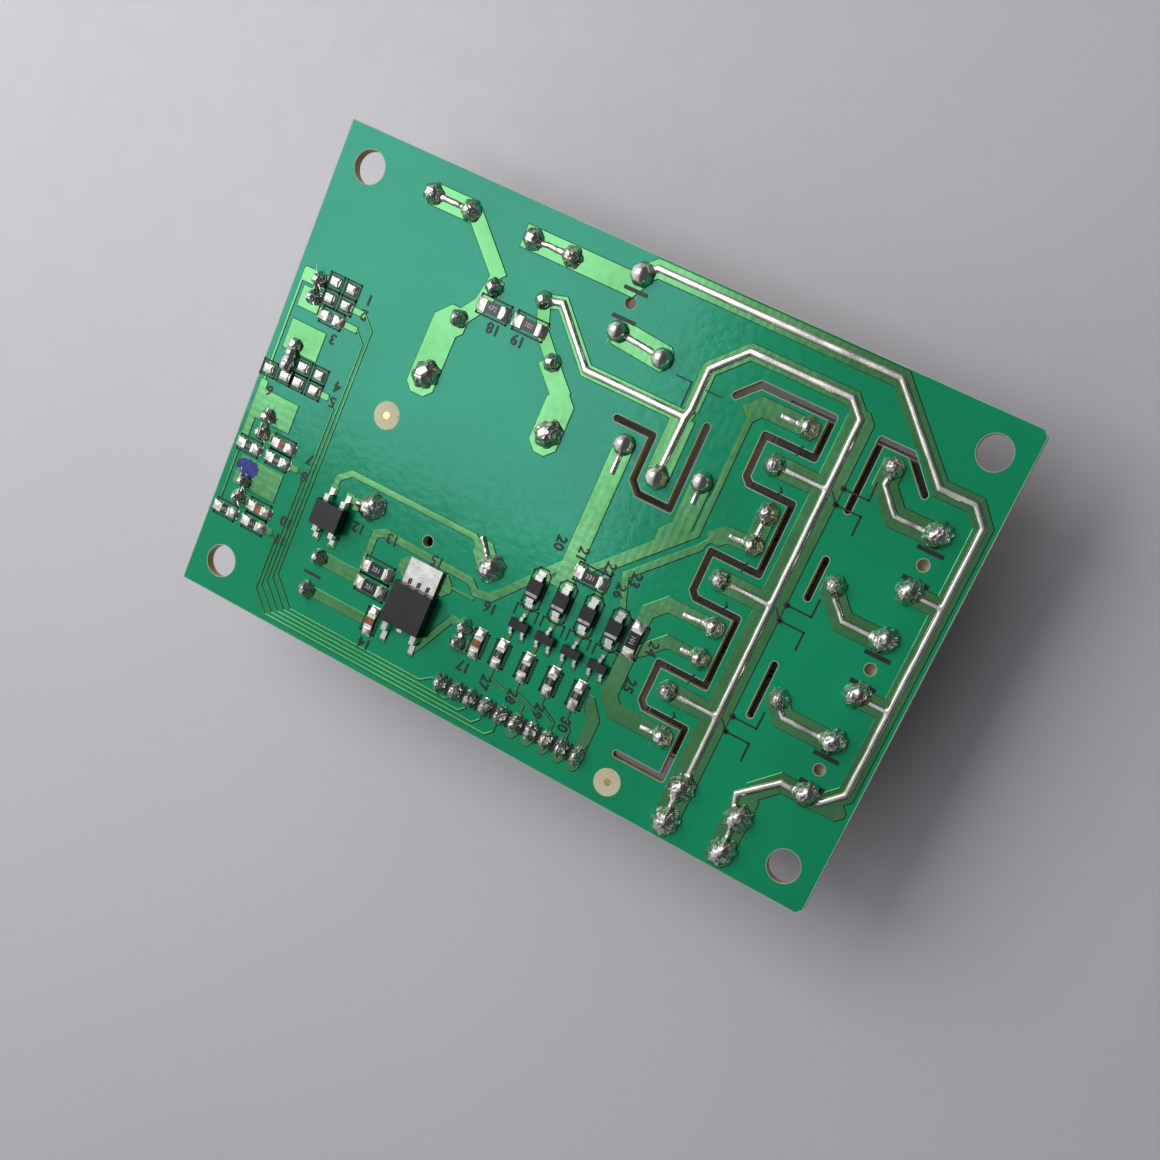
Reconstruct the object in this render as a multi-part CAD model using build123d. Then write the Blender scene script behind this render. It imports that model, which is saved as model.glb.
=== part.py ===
"""Control board of a convection heater: a single-sided board with its relays, transformer and
connectors on one face, and its copper, surface-mounted parts and solder on the other.

Frame: origin at the middle of the four mounting holes, on the laminate's solder face.
+X runs along the long edge towards the output connectors, +Y across to the fuse edge,
+Z out of the solder face. Lengths are in millimetres.
"""
import os
from math import cos, pi, sin

from build123d import *

# ---- laminate
board_length = 105.0
board_width = 70.0
board_thickness = 1.6
corner_chamfer = 0.8
mount_hole_diameter = 4.7
mount_hole_inset = 5.0
slot_width = 1.0
copper_height = 0.07
slot_keepback = 0.45
fiducial_dot = 1.0
fiducial_clearing = 4.0

# ---- solder
bead_width = 1.2
bead_height = 0.42
strip_width = 1.0
strip_height = 0.35
bead_crown = 0.45
pin_proud = 0.25
hole_play = 0.1
pad_bump_height = 0.28
joint_sides = 8
drill_sides = 6

# ---- pin and lead sections
signal_pin = 0.64
power_pin = 1.0
contact_blade = 0.9
tab_leg = 1.1
round_lead = 0.6

# ---- joint sizes: base diameter and height of the solder cone
relay_joint = (3.0, 1.5)
power_joint = (3.3, 1.5)
clip_joint = (3.0, 1.4)
transformer_joint = (3.7, 1.5)
lead_joint = (2.6, 1.4)
signal_joint = (2.3, 1.3)
header_joint = (2.1, 1.3)
ball_joint = (2.9, 1.9)
small_ball_joint = (2.1, 1.3)
tab_star = (3.8, 1.6)
header_stretch = 1.4

# ---- relays
relay_count = 3
relay_pitch = 16.6
relay_common_from_edge = 29.8
relay_coil_forward = 2.0
relay_coil_spread = 6.0
relay_contact_forward = 14.2
relay_length = 19.2
relay_width = 15.5
relay_height = 15.3
relay_overhang = 1.4
relay_middle_y = 0.55
relay_slot_above = 8.45
line_rail_share = 0.37
relay_edge = 0.45

# ---- spare relay position, turned a quarter
spare_common_x = 8.8
spare_common_y = 9.1

# ---- output connectors and blade tabs
output_pitch = 14.9
output_from_edge = 6.9
output_middle_y = -1.1
output_pin_spread = 3.96
output_length = 11.8
output_depth = 8.2
output_base_height = 3.4
output_wall_height = 9.6
output_pin_length = 9.0
peg_hole_diameter = 1.6
tab_leg_pitch = 5.08
line_tab_from_edge = 22.5
neutral_tab_from_edge = 13.6
tab_share = 0.55
tab_width = 6.35
tab_thickness = 0.8
tab_length = 12.0

# ---- header and sensor connectors
header_count = 10
header_pitch = 2.54
header_middle_x = 3.45
header_from_bottom = 4.7
header_body = 2.5
header_pin_length = 6.2
sensor_from_left = 4.0
sensor_pitch = 2.5
sensor_rows = (11.95, -8.75, -18.85)
sensor_spare_row = 2.2
sensor_length = 7.5
sensor_depth = 5.8
sensor_height = 7.0
sensor_wall = 0.75
sensor_floor = 1.4
sensor_slot = (0.9, 3.6)
sensor_pour = (2.0, 4.5)

# ---- transformer
transformer_x = -18.1
transformer_y = -2.4
transformer_pin_grid = 20.2
core_length = 34.0
core_width = 29.0
core_stack = 12.0
core_leg = 5.6
bobbin_height = 18.6
flange_thickness = 1.6
winding_inset = 0.8
lamination_count = 6

# ---- fuse, varistor and capacitors
fuse_from_top = 4.67
fuse_x = -25.7
clip_spacing = 16.2
clip_leg_pitch = 6.15
clip_wall = 0.5
fuse_diameter = 5.2
fuse_length = 20.0
fuse_cap_length = 5.0
fuse_drop = 5.6
varistor_pitch = 7.5
varistor_x = -19.6
varistor_diameter = 11.0
varistor_thickness = 3.6
varistor_edge = 1.1
film_pitch = 15.15
film_x = -18.88
film_core_gap = 1.8
film_size = (17.8, 5.6, 11.5)
film_edge = 0.5
large_can = (10.0, 13.0, 5.1)
large_can_beside = 4.55
large_can_y = -25.0
small_can = (5.0, 11.0, 2.6)
small_can_x = -7.95
small_can_y = -22.7
can_standoff = 0.4

# ---- surface-mounted parts: length, width, height and solder reach past each end
small_chip = (2.0, 1.25, 0.5, 1.3)
large_chip = (3.2, 1.6, 0.6, 1.15)
chip_cap = 0.45
land_margin = 0.45
land_lip = 0.05
drive_first_x = -0.4
drive_pitch = 4.27
drive_resistor_aside = 1.1
drive_resistor_y = -22.6
diode_size = (2.7, 2.2, 1.2)
diode_pad_spread = 2.15
transistor_size = (2.9, 1.35, 1.05)
transistor_lead_spread = 0.95
bridge_size = (4.7, 3.9, 2.3)
bridge_lead_spread = 1.4
bridge_lead_reach = 3.3
bridge_beside = 5.0
bridge_below = 3.7
regulator_size = (6.5, 6.2, 2.3)
regulator_tab = (5.3, 4.0, 0.9)
regulator_lead_spread = 2.4
regulator_foot_reach = 2.4
lead_thickness = 0.2

board_bottom = -board_thickness
copper_top = copper_height


# ======================================================================= helpers
def from_left(distance):
    return distance - board_length / 2


def from_right(distance):
    return board_length / 2 - distance


def from_top(distance):
    return board_width / 2 - distance


def from_bottom(distance):
    return distance - board_width / 2


def shifted(point, dx, dy):
    return (point[0] + dx, point[1] + dy)


def band(points, width, clip=0.0):
    """Flat strip along a run of points, mitred at each turn, its end corners clipped."""
    half = width / 2
    spots = [Vector(*point) for point in points]
    steps = [(b - a).normalized() for a, b in zip(spots, spots[1:])]
    left, right = [], []
    for i, spot in enumerate(spots):
        before = steps[max(i - 1, 0)]
        after = steps[min(i, len(steps) - 1)]
        along = (before + after).normalized()
        aside = Vector(-along.Y, along.X)
        reach = half / aside.dot(Vector(-after.Y, after.X))
        left.append(spot + aside * reach)
        right.append(spot - aside * reach)
    if clip:
        for side, other in ((left, right), (right, left)):
            inward = (other[0] - side[0]).normalized() * clip
            side[0:1] = [side[0] + inward, side[0] + steps[0] * clip]
            inward = (other[-1] - side[-1]).normalized() * clip
            side[-1:] = [side[-1] - steps[-1] * clip, side[-1] + inward]
    return make_face(Polyline(*left, *reversed(right), close=True))


def cutter_path(points, width):
    """Opening left by a milling cutter: straight cuts that end and turn on the round tool."""
    outline = Sketch() + [band(leg, width) for leg in zip(points, points[1:])]
    return outline + [Pos(*spot) * Circle(width / 2) for spot in points]


def ring(radius, stretch=1.0, sides=joint_sides):
    """Small round thing drawn with a few flats; stretch lengthens it across the board."""
    outline = RegularPolygon(radius, sides, major_radius=False, rotation=180 / sides)
    return scale(outline, (1, stretch, 1)) if stretch != 1 else outline


def drill(radius):
    return ring(radius, sides=drill_sides)


def upright(sketch, low, high):
    """Prism on a flat outline between two heights."""
    return extrude(Pos(0, 0, low) * sketch, high - low)


def block(center, size, low, high):
    return Pos(center[0], center[1], (low + high) / 2) * Box(size[0], size[1], high - low)


def turned(at, outline, stretch=1.0):
    """Solder form round a pin, from its radius at each height above the copper."""
    rings = [Pos(at[0], at[1], copper_top + high) * ring(radius, stretch) for radius, high in outline]
    return loft(rings, ruled=True)


def cone_joint(at, sizes, stretch=1.0):
    """Solder wetted up a pin: a flat-topped hollow-sided cone on its pad."""
    base, height = sizes[0] / 2, sizes[1]
    return turned(at, [(base, 0), (base * 0.62, height * 0.45), (base * 0.42, height)], stretch)


def dome_joint(at, sizes):
    """Smooth ball of solder over a hole with no pin in it, cut flat where it meets the copper."""
    radius = sizes[0] / 2
    middle = sizes[1] - radius
    outline = [((radius ** 2 - middle ** 2) ** 0.5, 0), (radius, middle)]
    for turn in (pi / 4, pi / 2.4):
        outline.append((radius * cos(turn), middle + radius * sin(turn)))
    return turned(at, outline)


def star_joint(at, sizes, petals=8):
    """Hand-soldered joint that froze in petals round a wide flat leg."""
    outer, inner = sizes[0] / 2, sizes[0] * 0.36
    corners = []
    for i in range(2 * petals):
        radius = inner if i % 2 else outer
        corners.append((radius * cos(pi * i / petals), radius * sin(pi * i / petals)))
    foot = Pos(at[0], at[1], copper_top) * make_face(Polyline(*corners, close=True))
    return extrude(foot, sizes[1] * 0.6, taper=18) + cone_joint(at, (sizes[0] * 0.62, sizes[1]))


def bead(points, width=bead_width, height=bead_height):
    """Crowned ridge of solder flooded along a bare strip of copper."""
    foot = Pos(0, 0, copper_top) * band(points, width)
    crown = Pos(0, 0, copper_top + height) * band(points, width * bead_crown)
    return loft([foot, crown], ruled=True)


def square_pins(spots, side, low, high):
    return [block(spot, (side, side), low, high) for spot in spots]


def save(name, shape):
    solids = list(shape) if isinstance(shape, (list, ShapeList)) else [shape]
    body = solids[0] if len(solids) == 1 else Compound(children=[Part() + s for s in solids])
    export_step(body, f"parts/{name}.step")
    count = sum(len(s.solids()) for s in solids)
    print(f"{name:28s} solids {count}")


# ======================================================================= pin positions
relay_common_x = from_right(relay_common_from_edge)
relay_rows = [relay_middle_y + relay_pitch * (1 - i) for i in range(relay_count)]
commons = [(relay_common_x, y) for y in relay_rows]
coils_a = [shifted(p, relay_coil_forward, relay_coil_spread) for p in commons]
coils_b = [shifted(p, relay_coil_forward, -relay_coil_spread) for p in commons]
contacts = [shifted(p, relay_contact_forward, relay_coil_spread) for p in commons]

spare_common = (spare_common_x, spare_common_y)
spare_coils = [
    shifted(spare_common, -relay_coil_spread, relay_coil_forward),
    shifted(spare_common, relay_coil_spread, relay_coil_forward),
]
spare_contact = shifted(spare_common, -relay_coil_spread, relay_contact_forward)

output_x = from_right(output_from_edge)
output_rows = [output_middle_y + output_pitch * (1 - i) for i in range(relay_count)]
outputs_a = [(output_x, y + output_pin_spread) for y in output_rows]
outputs_b = [(output_x, y - output_pin_spread) for y in output_rows]
spare_output_x = -4.4
solder_ceiling = copper_top + 2 * ball_joint[1]
spare_output_a = (spare_output_x, from_top(3.0))
spare_output_b = shifted(spare_output_a, 0, -2 * output_pin_spread)


last_relay_edge = relay_rows[-1] - relay_width / 2
tab_middle_y = last_relay_edge - tab_share * (last_relay_edge - from_bottom(0))


def tab_legs(x):
    low = tab_middle_y - tab_leg_pitch / 2
    return [(x, low + tab_leg_pitch), (x, low)]


line_legs = tab_legs(from_right(line_tab_from_edge))
neutral_legs = tab_legs(from_right(neutral_tab_from_edge))

header_y = from_bottom(header_from_bottom)
header_pins = [
    (header_middle_x + header_pitch * (i - (header_count - 1) / 2), header_y)
    for i in range(header_count)
]
sensor_x = from_left(sensor_from_left)


def sensor_pair(row):
    return [(sensor_x, row + sensor_pitch / 2), (sensor_x, row - sensor_pitch / 2)]


sensor_pins = [pin for row in sensor_rows for pin in sensor_pair(row)]
sensor_spare_pins = sensor_pair(sensor_spare_row)

half_grid = transformer_pin_grid / 2
primary_a = (transformer_x - half_grid, transformer_y + half_grid)
primary_b = (transformer_x + half_grid, transformer_y + half_grid)
secondary_a = (transformer_x - half_grid, transformer_y - half_grid)
secondary_b = (transformer_x + half_grid, transformer_y - half_grid)

fuse_y = from_top(fuse_from_top)
fuse_level = board_bottom - fuse_drop
clip_centres = [fuse_x - clip_spacing / 2, fuse_x + clip_spacing / 2]
clip_legs = [(x + s * clip_leg_pitch / 2, fuse_y) for x in clip_centres for s in (-1, 1)]
clip_outer = fuse_diameter / 2 + clip_wall
film_y = transformer_y + core_width / 2 + film_core_gap + film_size[1] / 2
varistor_y = (fuse_y - clip_outer + film_y + film_size[1] / 2) / 2
varistor_legs = [
    (varistor_x - varistor_pitch / 2, varistor_y - 0.9),
    (varistor_x + varistor_pitch / 2, varistor_y + 0.3),
]
film_legs = [(film_x - film_pitch / 2, film_y), (film_x + film_pitch / 2, film_y)]
large_can_x = secondary_a[0] - large_can_beside
large_can_legs = [
    (large_can_x, large_can_y + large_can[2] / 2),
    (large_can_x, large_can_y - large_can[2] / 2),
]
small_can_legs = [
    (small_can_x, small_can_y + small_can[2] / 2),
    (small_can_x, small_can_y - small_can[2] / 2),
]

# surface pads: centre of each part and the way it lies
chip_column = from_left(7.85)
chip_column_outer = from_left(2.75)
drive_x = [drive_first_x + drive_pitch * i for i in range(4)]
drive_resistor_x = [x - drive_resistor_aside for x in drive_x]
input_capacitor = (-21.5, -27.2)
output_capacitor = (-5.15, -22.7)
jumper_at = (15.4, -12.0)
small_resistors = [
    (chip_column, 9.1, 0),
    (chip_column, -12.6, 0),
    (chip_column_outer, -12.6, 0),
    (chip_column, -22.7, 0),
    (chip_column_outer, -22.7, 0),
] + [(x, drive_resistor_y, 90) for x in drive_resistor_x]
small_capacitors = [
    (chip_column, -10.3, 0),
    (chip_column, -20.3, 0),
    (*input_capacitor, 90),
    (*output_capacitor, 90),
]
empty_pad_pairs = [
    (chip_column, 13.9),
    (chip_column, 11.5),
    (chip_column, 1.1),
    (chip_column, -1.2),
    (chip_column_outer, -1.2),
]
bleed_y = film_y + 3.1
large_resistors = [
    (-22.15, bleed_y, 0),
    (-16.3, bleed_y, 0),
    (-23.5, -20.1, 0),
    (-23.5, -22.8, 0),
    (6.25, -7.0, 0),
    (*jumper_at, 90),
]
diode_y = -11.95
transistor_y = -17.5
bridge_at = shifted(secondary_a, -bridge_beside, -bridge_below)
regulator_at = (-16.4, -22.7)
regulator_feet_y = regulator_at[1] - regulator_size[1] / 2 - regulator_foot_reach

# ======================================================================= board
square_holes = {
    signal_pin: coils_a + coils_b + header_pins + sensor_pins + sensor_spare_pins + spare_coils,
    power_pin: (
        outputs_a + outputs_b + [spare_output_a, spare_output_b, primary_a, primary_b]
        + [secondary_a, secondary_b]
    ),
    contact_blade: commons + contacts + [spare_common, spare_contact] + clip_legs,
    tab_leg: line_legs + neutral_legs,
}
round_holes = varistor_legs + film_legs + large_can_legs + small_can_legs


def hole_radius(side):
    return side * 2 ** 0.5 / 2 + hole_play


def drills():
    holes = Sketch()
    for side, spots in square_holes.items():
        holes += [Pos(*spot) * drill(hole_radius(side)) for spot in spots]
    holes += [Pos(*spot) * drill(round_lead / 2 + hole_play) for spot in round_holes]
    return holes


def relay_slot():
    """Long milled slot that weaves between the coil pins and the common pin of every relay."""
    out, back = 4.4, -2.8
    above, below = 2.9, -3.6
    corner = 0.8
    first, last = relay_rows[0], relay_rows[-1]
    x, top = relay_common_x, first + relay_slot_above
    points = [(x - 8.7, top - 2.6), (x - 6.1, top), (x + out, top)]
    for y in relay_rows:
        points += [(x + out, y + above), (x + back, y + above)]
        points += [(x + back, y + below + corner), (x + back + corner, y + below), (x + out, y + below)]
    return points + [(x + out, last - 11.25), (x + back, last - 11.25)]


def slot_routes():
    a, b, c = contacts
    s = spare_common
    yield relay_slot()
    yield [shifted(s, -8.5, 4.7), shifted(s, -2.9, 4.7), shifted(s, -2.9, -1.7),
           shifted(s, -1.5, -3.1), shifted(s, 3.4, -3.1), shifted(s, 3.4, 8.7)]
    yield [shifted(a, -2.9, -7.2), shifted(a, -2.9, 2.45), shifted(a, 1.4, 2.45), shifted(a, 5.1, -1.4)]
    yield [shifted(b, -2.6, 2.45), shifted(b, -2.6, -2.95)]
    yield [shifted(c, -2.6, 3.75), shifted(c, -2.6, -3.65)]


def slots(width):
    return Sketch() + [cutter_path(route, width) for route in slot_routes()]


def peg_holes():
    spots = [(output_x + 0.3, y) for y in output_rows]
    spots.append(shifted(spare_output_a, 0, -output_pin_spread))
    spots.append((transformer_x, -13.0))
    return Sketch() + [Pos(*spot) * Circle(peg_hole_diameter / 2) for spot in spots]


def board():
    outline = Rectangle(board_length, board_width)
    outline = chamfer(outline.vertices().group_by(Axis.X)[-1], corner_chamfer)
    mount_x = board_length / 2 - mount_hole_inset
    mount_y = board_width / 2 - mount_hole_inset
    for x in (-mount_x, mount_x):
        for y in (-mount_y, mount_y):
            outline -= Pos(x, y) * Circle(mount_hole_diameter / 2)
    return upright(outline - slots(slot_width) - peg_holes() - drills(), board_bottom, 0)


# ======================================================================= copper
def corner_run(start, end, slant):
    """Path that leaves start along Y, turns through 45 degrees and reaches end along X."""
    drop = end[1] - start[1]
    bend = min(slant, 0.8 * abs(drop))
    way = -1 if drop < 0 else 1
    return [start, (start[0], end[1] - way * bend), (start[0] + bend, end[1]), end]


neutral_rail_x = from_right(1.9)
neutral_rail_y = from_top(1.5)
neutral_run = [
    spare_output_a,
    (spare_output_a[0] + 1.7, neutral_rail_y),
    (from_right(19.6), neutral_rail_y),
    (from_right(9.1), from_top(11.7)),
    (from_right(4.0), from_top(11.7)),
    (neutral_rail_x, from_top(14.0)),
    (neutral_rail_x, outputs_b[-1][1] + 2.6),
    (neutral_rail_x - 2.6, outputs_b[-1][1]),
    outputs_b[-1],
    (output_x - 3.4, outputs_b[-1][1]),
    (neutral_legs[0][0] - 1.5, neutral_legs[0][1] + 3.2),
    (neutral_legs[0][0] - 0.9, neutral_legs[0][1] + 1.2),
]
line_rail_x = from_right(22.1)
slot_top_y = relay_rows[0] + relay_slot_above + slot_width / 2
line_rail_y = slot_top_y + line_rail_share * (neutral_rail_y - slot_top_y)
line_feed_y = spare_common_y + 8.6
line_run = [
    varistor_legs[1],
    (varistor_legs[1][0] + 2.7, varistor_legs[1][1] + 0.7),
    (-6.4, line_feed_y),
    (spare_common_x + 0.2, line_feed_y),
    (spare_common_x + 0.5, line_feed_y + 1.1),
    (spare_common_x + 0.5, line_rail_y - 4.2),
    (spare_common_x + 4.7, line_rail_y),
    (line_rail_x - 2.1, line_rail_y),
    (line_rail_x, line_rail_y - 2.1),
    (line_rail_x, line_legs[0][1] + 1.5),
]
output_runs = [corner_run(a, b, 3.0) for a, b in zip(contacts, outputs_a)]
spare_run = [spare_contact, spare_output_b]
bleed_left = (large_resistors[0][0] - 1.95, bleed_y)
bleed_right = (large_resistors[1][0] + 1.95, bleed_y)
supply_y = -14.8
diode_pad_y = diode_y + diode_pad_spread
diode_foot_y = diode_y - diode_pad_spread
column_in = chip_column - 1.45
column_out = chip_column + 1.45


def mains_copper():
    rail, legs = neutral_rail_x, neutral_legs
    yield band(neutral_run[:-2], 2.6)
    yield band([outputs_b[-1], neutral_run[-3], shifted(legs[0], 0, 4.2)], 2.8)
    yield band([shifted(legs[0], 0, 4.4), shifted(legs[1], 0, -2.1)], 3.8, 0.9)
    for pin in outputs_b[:-1]:
        yield band([pin, (rail, pin[1])], 2.8)
    yield band([outputs_b[-1], (rail + 1.2, outputs_b[-1][1])], 2.8, 1.0)
    yield band([shifted(clip_legs[2], -1.6, 0), (spare_output_x - 1.0, fuse_y), spare_output_a], 3.3)
    yield band(line_run[:5], 2.0)
    yield band(line_run[4:9], 2.3)
    yield band([shifted(line_run[8], 0.1, 1.4), shifted(line_legs[1], 0.1, -2.1)], 3.9, 1.2)
    yield band([(spare_common_x, line_feed_y), spare_common], 3.6)
    for pin in commons:
        yield band([shifted(pin, 0.4, 0), (line_rail_x, pin[1])], 3.0)
    for run in output_runs:
        yield band([shifted(run[0], 0, 0.9)] + run[1:], 3.2)
    yield band([shifted(spare_run[0], 1.2, 0), shifted(spare_run[1], -0.8, 0)], 3.7, 0.7)


def supply_copper():
    yield band([shifted(clip_legs[0], -0.6, 0), shifted(clip_legs[1], 1.2, 0)], 3.2, 0.8)
    yield band([shifted(clip_legs[1], 0.3, 0.3), shifted(varistor_legs[0], 0.3, 1.2)], 2.4)
    yield band([shifted(varistor_legs[0], 0, 1.2), bleed_left], 2.6)
    yield band([bleed_left, film_legs[0]], 2.4)
    yield band([shifted(film_legs[0], 0.7, 0.7), shifted(film_legs[0], -1.6, -1.6), primary_a,
                shifted(primary_a, 0, -2.9)], 4.5, 1.2)
    yield band([varistor_legs[1], bleed_right, film_legs[1]], 2.0)
    yield band([shifted(film_legs[1], -1.0, 0.3), shifted(primary_b, 0, 5.2)], 3.0)
    yield band([shifted(primary_b, 0, 6.2), shifted(primary_b, 0, -2.9)], 4.5, 1.4)
    # low-voltage winding to the bridge, and the smoothed supply away from it
    x, y = bridge_at
    yield band([(x - bridge_lead_spread, y + 3.0), (x - bridge_lead_spread, y + 5.4), (x + 0.4, y + 6.9),
                (secondary_b[0] - 3.8, y + 6.9), shifted(secondary_b, -1.8, 1.6)], 1.1)
    yield band([shifted(secondary_b, -2.7, 3.0), secondary_b], 3.4, 0.8)
    yield band([(x + bridge_lead_spread, y + 2.9), shifted(secondary_a, 0.2, 0.0)], 2.0)
    left = large_resistors[2][0] - 1.9
    yield band([large_can_legs[0], (left, large_can_legs[0][1])], 2.2)
    yield band([large_can_legs[1], (input_capacitor[0] - 1.0, large_can_legs[1][1]),
                shifted(input_capacitor, 0, -1.6)], 1.7)
    yield band([(left - 0.6, -22.8), (left - 0.6, supply_y - 0.8), (left + 0.8, supply_y),
                (-9.9, supply_y - 0.4), (-8.5, supply_y - 1.6), (-6.0, supply_y - 1.2),
                (1.6, diode_pad_y + 2.4), (2.8, diode_pad_y)], 1.3)
    x, y = regulator_at
    yield band([(x, y + 6.7), (x, y + 3.3)], 9.1, 1.2)
    yield band([(x + 4.0, y + 5.3), (x + 8.1, y + 5.3)], 0.5)
    yield band([(x + regulator_lead_spread, regulator_feet_y), (x + 3.2, y - 4.3),
                (-10.2, small_can_legs[0][1]), small_can_legs[0],
                (output_capacitor[0], small_can_legs[0][1])], 1.2)
    yield band([small_can_legs[1], (output_capacitor[0], small_can_legs[1][1])], 1.8)


def coil_copper():
    a, b, c = coils_a
    a2, b2, c2 = coils_b
    left = relay_common_x - 5.6
    jumper, jumper_y = jumper_at
    # first relay: one lead from above, one shared with the second relay
    yield band([a, (left + 0.9, a[1]), (left - 0.9, a[1] - 1.9)], 2.7)
    yield band([(left, a[1] - 1.0), (left, 4.6), (left - 9.0, -4.4), (left - 9.0, diode_pad_y)], 1.1)
    yield band([shifted(a2, 0, 0.6), b], 2.8)
    yield band([b, (relay_common_x - 1.9, b[1]), (left + 1.2, 3.2), (left - 6.6, -4.6),
                (drive_x[3], diode_pad_y)], 1.1)
    yield band([b, (relay_common_x - 1.7, b[1] - 0.2), (relay_common_x - 3.8, b[1] - 2.0)], 2.4)
    yield band([b2, (relay_common_x - 5.0, b2[1]), (relay_common_x - 7.2, b2[1] - 2.2),
                (jumper, jumper_y + 1.8)], 2.2)
    yield band([c, (relay_common_x - 3.0, c[1]), (relay_common_x - 5.6, c[1] - 2.6),
                (jumper, jumper_y - 1.8)], 1.9)
    yield band([c2, (jumper + 1.6, c2[1]), (jumper, c2[1] + 1.6), (jumper, jumper_y - 2.4)], 2.6)
    # spare relay position
    s, t = spare_coils
    yield band([shifted(s, 0, 1.2), (s[0], diode_pad_y - 0.2)], 3.1, 0.7)
    yield band([shifted(t, 0, 1.2), (t[0], 4.0), (t[0] - 2.4, 1.2)], 3.1, 1.0)
    yield band([(t[0], 3.4), (5.4, -6.2)], 1.1)
    for x in drive_x:
        yield band([(x, diode_foot_y), (x, transistor_y + 1.6)], 0.9)
    for x, below in zip(drive_x, drive_resistor_x):
        yield band([(x - transistor_lead_spread, transistor_y - 1.6), (below, drive_resistor_y + 1.6)], 0.9)
    yield band([(drive_x[0], diode_pad_y), (drive_x[1], diode_pad_y)], 1.2)


def signal_copper():
    """Fine tracks that leave the sensor column in a bundle and reach the header from below."""
    pitch, width = 0.62, 0.36
    rows = [-22.7, -12.6, -1.2, 9.1, 11.5]
    for i, row in enumerate(rows):
        x = from_left(11.9) + pitch * i
        low = from_bottom(1.0) + pitch * i
        lift = 0.7 + 0.25 * i
        pin = header_pins[len(rows) - 1 - i]
        if i < len(rows) - 1:
            end = [(pin[0] - 1.0, low), (pin[0], low + 1.0), pin]
        else:
            end = [(pin[0] - 3.2, low), (pin[0] - 1.4, header_y), pin]
        yield band([(column_out, row), (x - lift, row), (x, row - lift), (x, low + 2.2 + lift),
                    (x + 2.2 + lift, low)] + end, width)
        yield band([(column_out, row), (x - lift, row)], 3 * width)
    # header feeds from the driver resistors
    for i, x in enumerate(drive_resistor_x):
        pin = header_pins[i + 5]
        yield band([(x, drive_resistor_y - 1.6), (x, header_y + 4.1), (pin[0], header_y + 2.7), pin], 0.5)
    last = header_pins[-1]
    yield band([last, shifted(last, 0, 5.7), shifted(last, -1.6, 7.7), (drive_x[3] + 0.4, header_y + 7.7)],
               2.0)


def sensor_copper():
    """Pieces of ground behind the sensor plugs, and the long return along the left edge."""
    reach, depth = sensor_pour
    upper, lower = sensor_pair(sensor_rows[0])
    yield Pos(upper[0] - 0.7, upper[1]) * Rectangle(4.3, sensor_pitch - 0.3)
    yield Pos(lower[0] - 0.35, lower[1] - 0.5) * Rectangle(3.6, sensor_pitch + 0.7)
    for row, far in ((sensor_spare_row, 4.0), (sensor_rows[1], 4.0), (sensor_rows[2], 5.7)):
        middle = (sensor_x + (far - reach) / 2, row + (sensor_pitch + depth) / 2 - 1.05)
        yield Pos(*middle) * Rectangle(far + reach, depth)
    for row in sensor_rows[1:]:
        low = row - sensor_pitch / 2
        yield band([(sensor_x, low), (column_in, low - 0.3)], 1.8)
    edge = from_left(1.2)
    yield band([(edge, sensor_rows[0] + 2.2), (edge, -22.7)], 0.5)
    yield band([(edge + 0.15, -2.8), (edge + 0.15, -11.7)], 1.4)


def pads():
    """Round lands under the soldered pins and square ones under the surface parts."""
    spots = [
        (coils_a + coils_b, relay_joint[0] - 0.2),
        (commons + contacts, relay_joint[0]),
        (outputs_a + outputs_b, power_joint[0]),
        (line_legs + neutral_legs, tab_star[0] - 0.3),
        (small_can_legs, signal_joint[0] - 0.3),
        (sensor_pins + sensor_spare_pins, signal_joint[0] - 0.2),
        (varistor_legs + film_legs + large_can_legs, lead_joint[0]),
        ([secondary_a, secondary_b], transformer_joint[0]),
    ]
    for group, size in spots:
        for spot in group:
            yield Pos(*spot) * ring(size / 2)
    for spot in header_pins + [shifted(pin, 0, -1.0) for pin in header_pins[5:]]:
        yield Pos(*spot) * ring(header_joint[0] / 2 - 0.05, header_stretch)
    for x, y, angle, spread, land in surface_lands():
        yield Pos(x, y) * Rot(0, 0, angle) * Pos(spread, 0) * Rectangle(*land)
        yield Pos(x, y) * Rot(0, 0, angle) * Pos(-spread, 0) * Rectangle(*land)


def chip_land(chip):
    """Half spread and size of the lands under a chip's two ends."""
    length, width, _, reach = chip
    return length / 2 + (reach - chip_cap) / 2, (reach + chip_cap + 2 * land_lip, width + land_margin)


def surface_lands():
    """Pairs of lands as x, y, angle, half spread and land size."""
    for x, y, angle in small_resistors + small_capacitors:
        yield x, y, angle, *chip_land(small_chip)
    for x, y in empty_pad_pairs:
        yield x, y, 0, *chip_land(small_chip)
    for x, y, angle in large_resistors:
        yield x, y, angle, *chip_land(large_chip)
    for x in drive_x:
        yield x, diode_y, 90, diode_pad_spread, (1.5, 1.7)
        yield x, transistor_y - 1.6, 0, transistor_lead_spread, (0.9, 1.2)
        yield x, transistor_y + 1.6, 0, 0.25, (0.5, 1.2)
    for side in (1, -1):
        yield bridge_at[0], bridge_at[1] + side * bridge_lead_reach, 0, bridge_lead_spread, (1.5, 2.0)
    yield regulator_at[0], regulator_feet_y, 0, regulator_lead_spread, (1.2, 2.0)


def copper_tracks():
    outline = Sketch()
    outline += [*mains_copper(), *supply_copper(), *coil_copper(), *signal_copper()]
    outline += [*sensor_copper(), *pads()]
    outline -= slots(slot_width + 2 * slot_keepback)
    outline -= [Pos(*spot) * ring(fiducial_clearing / 2) for spot in fiducials]
    outline -= drills()
    return upright(outline, 0, copper_height)


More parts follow.
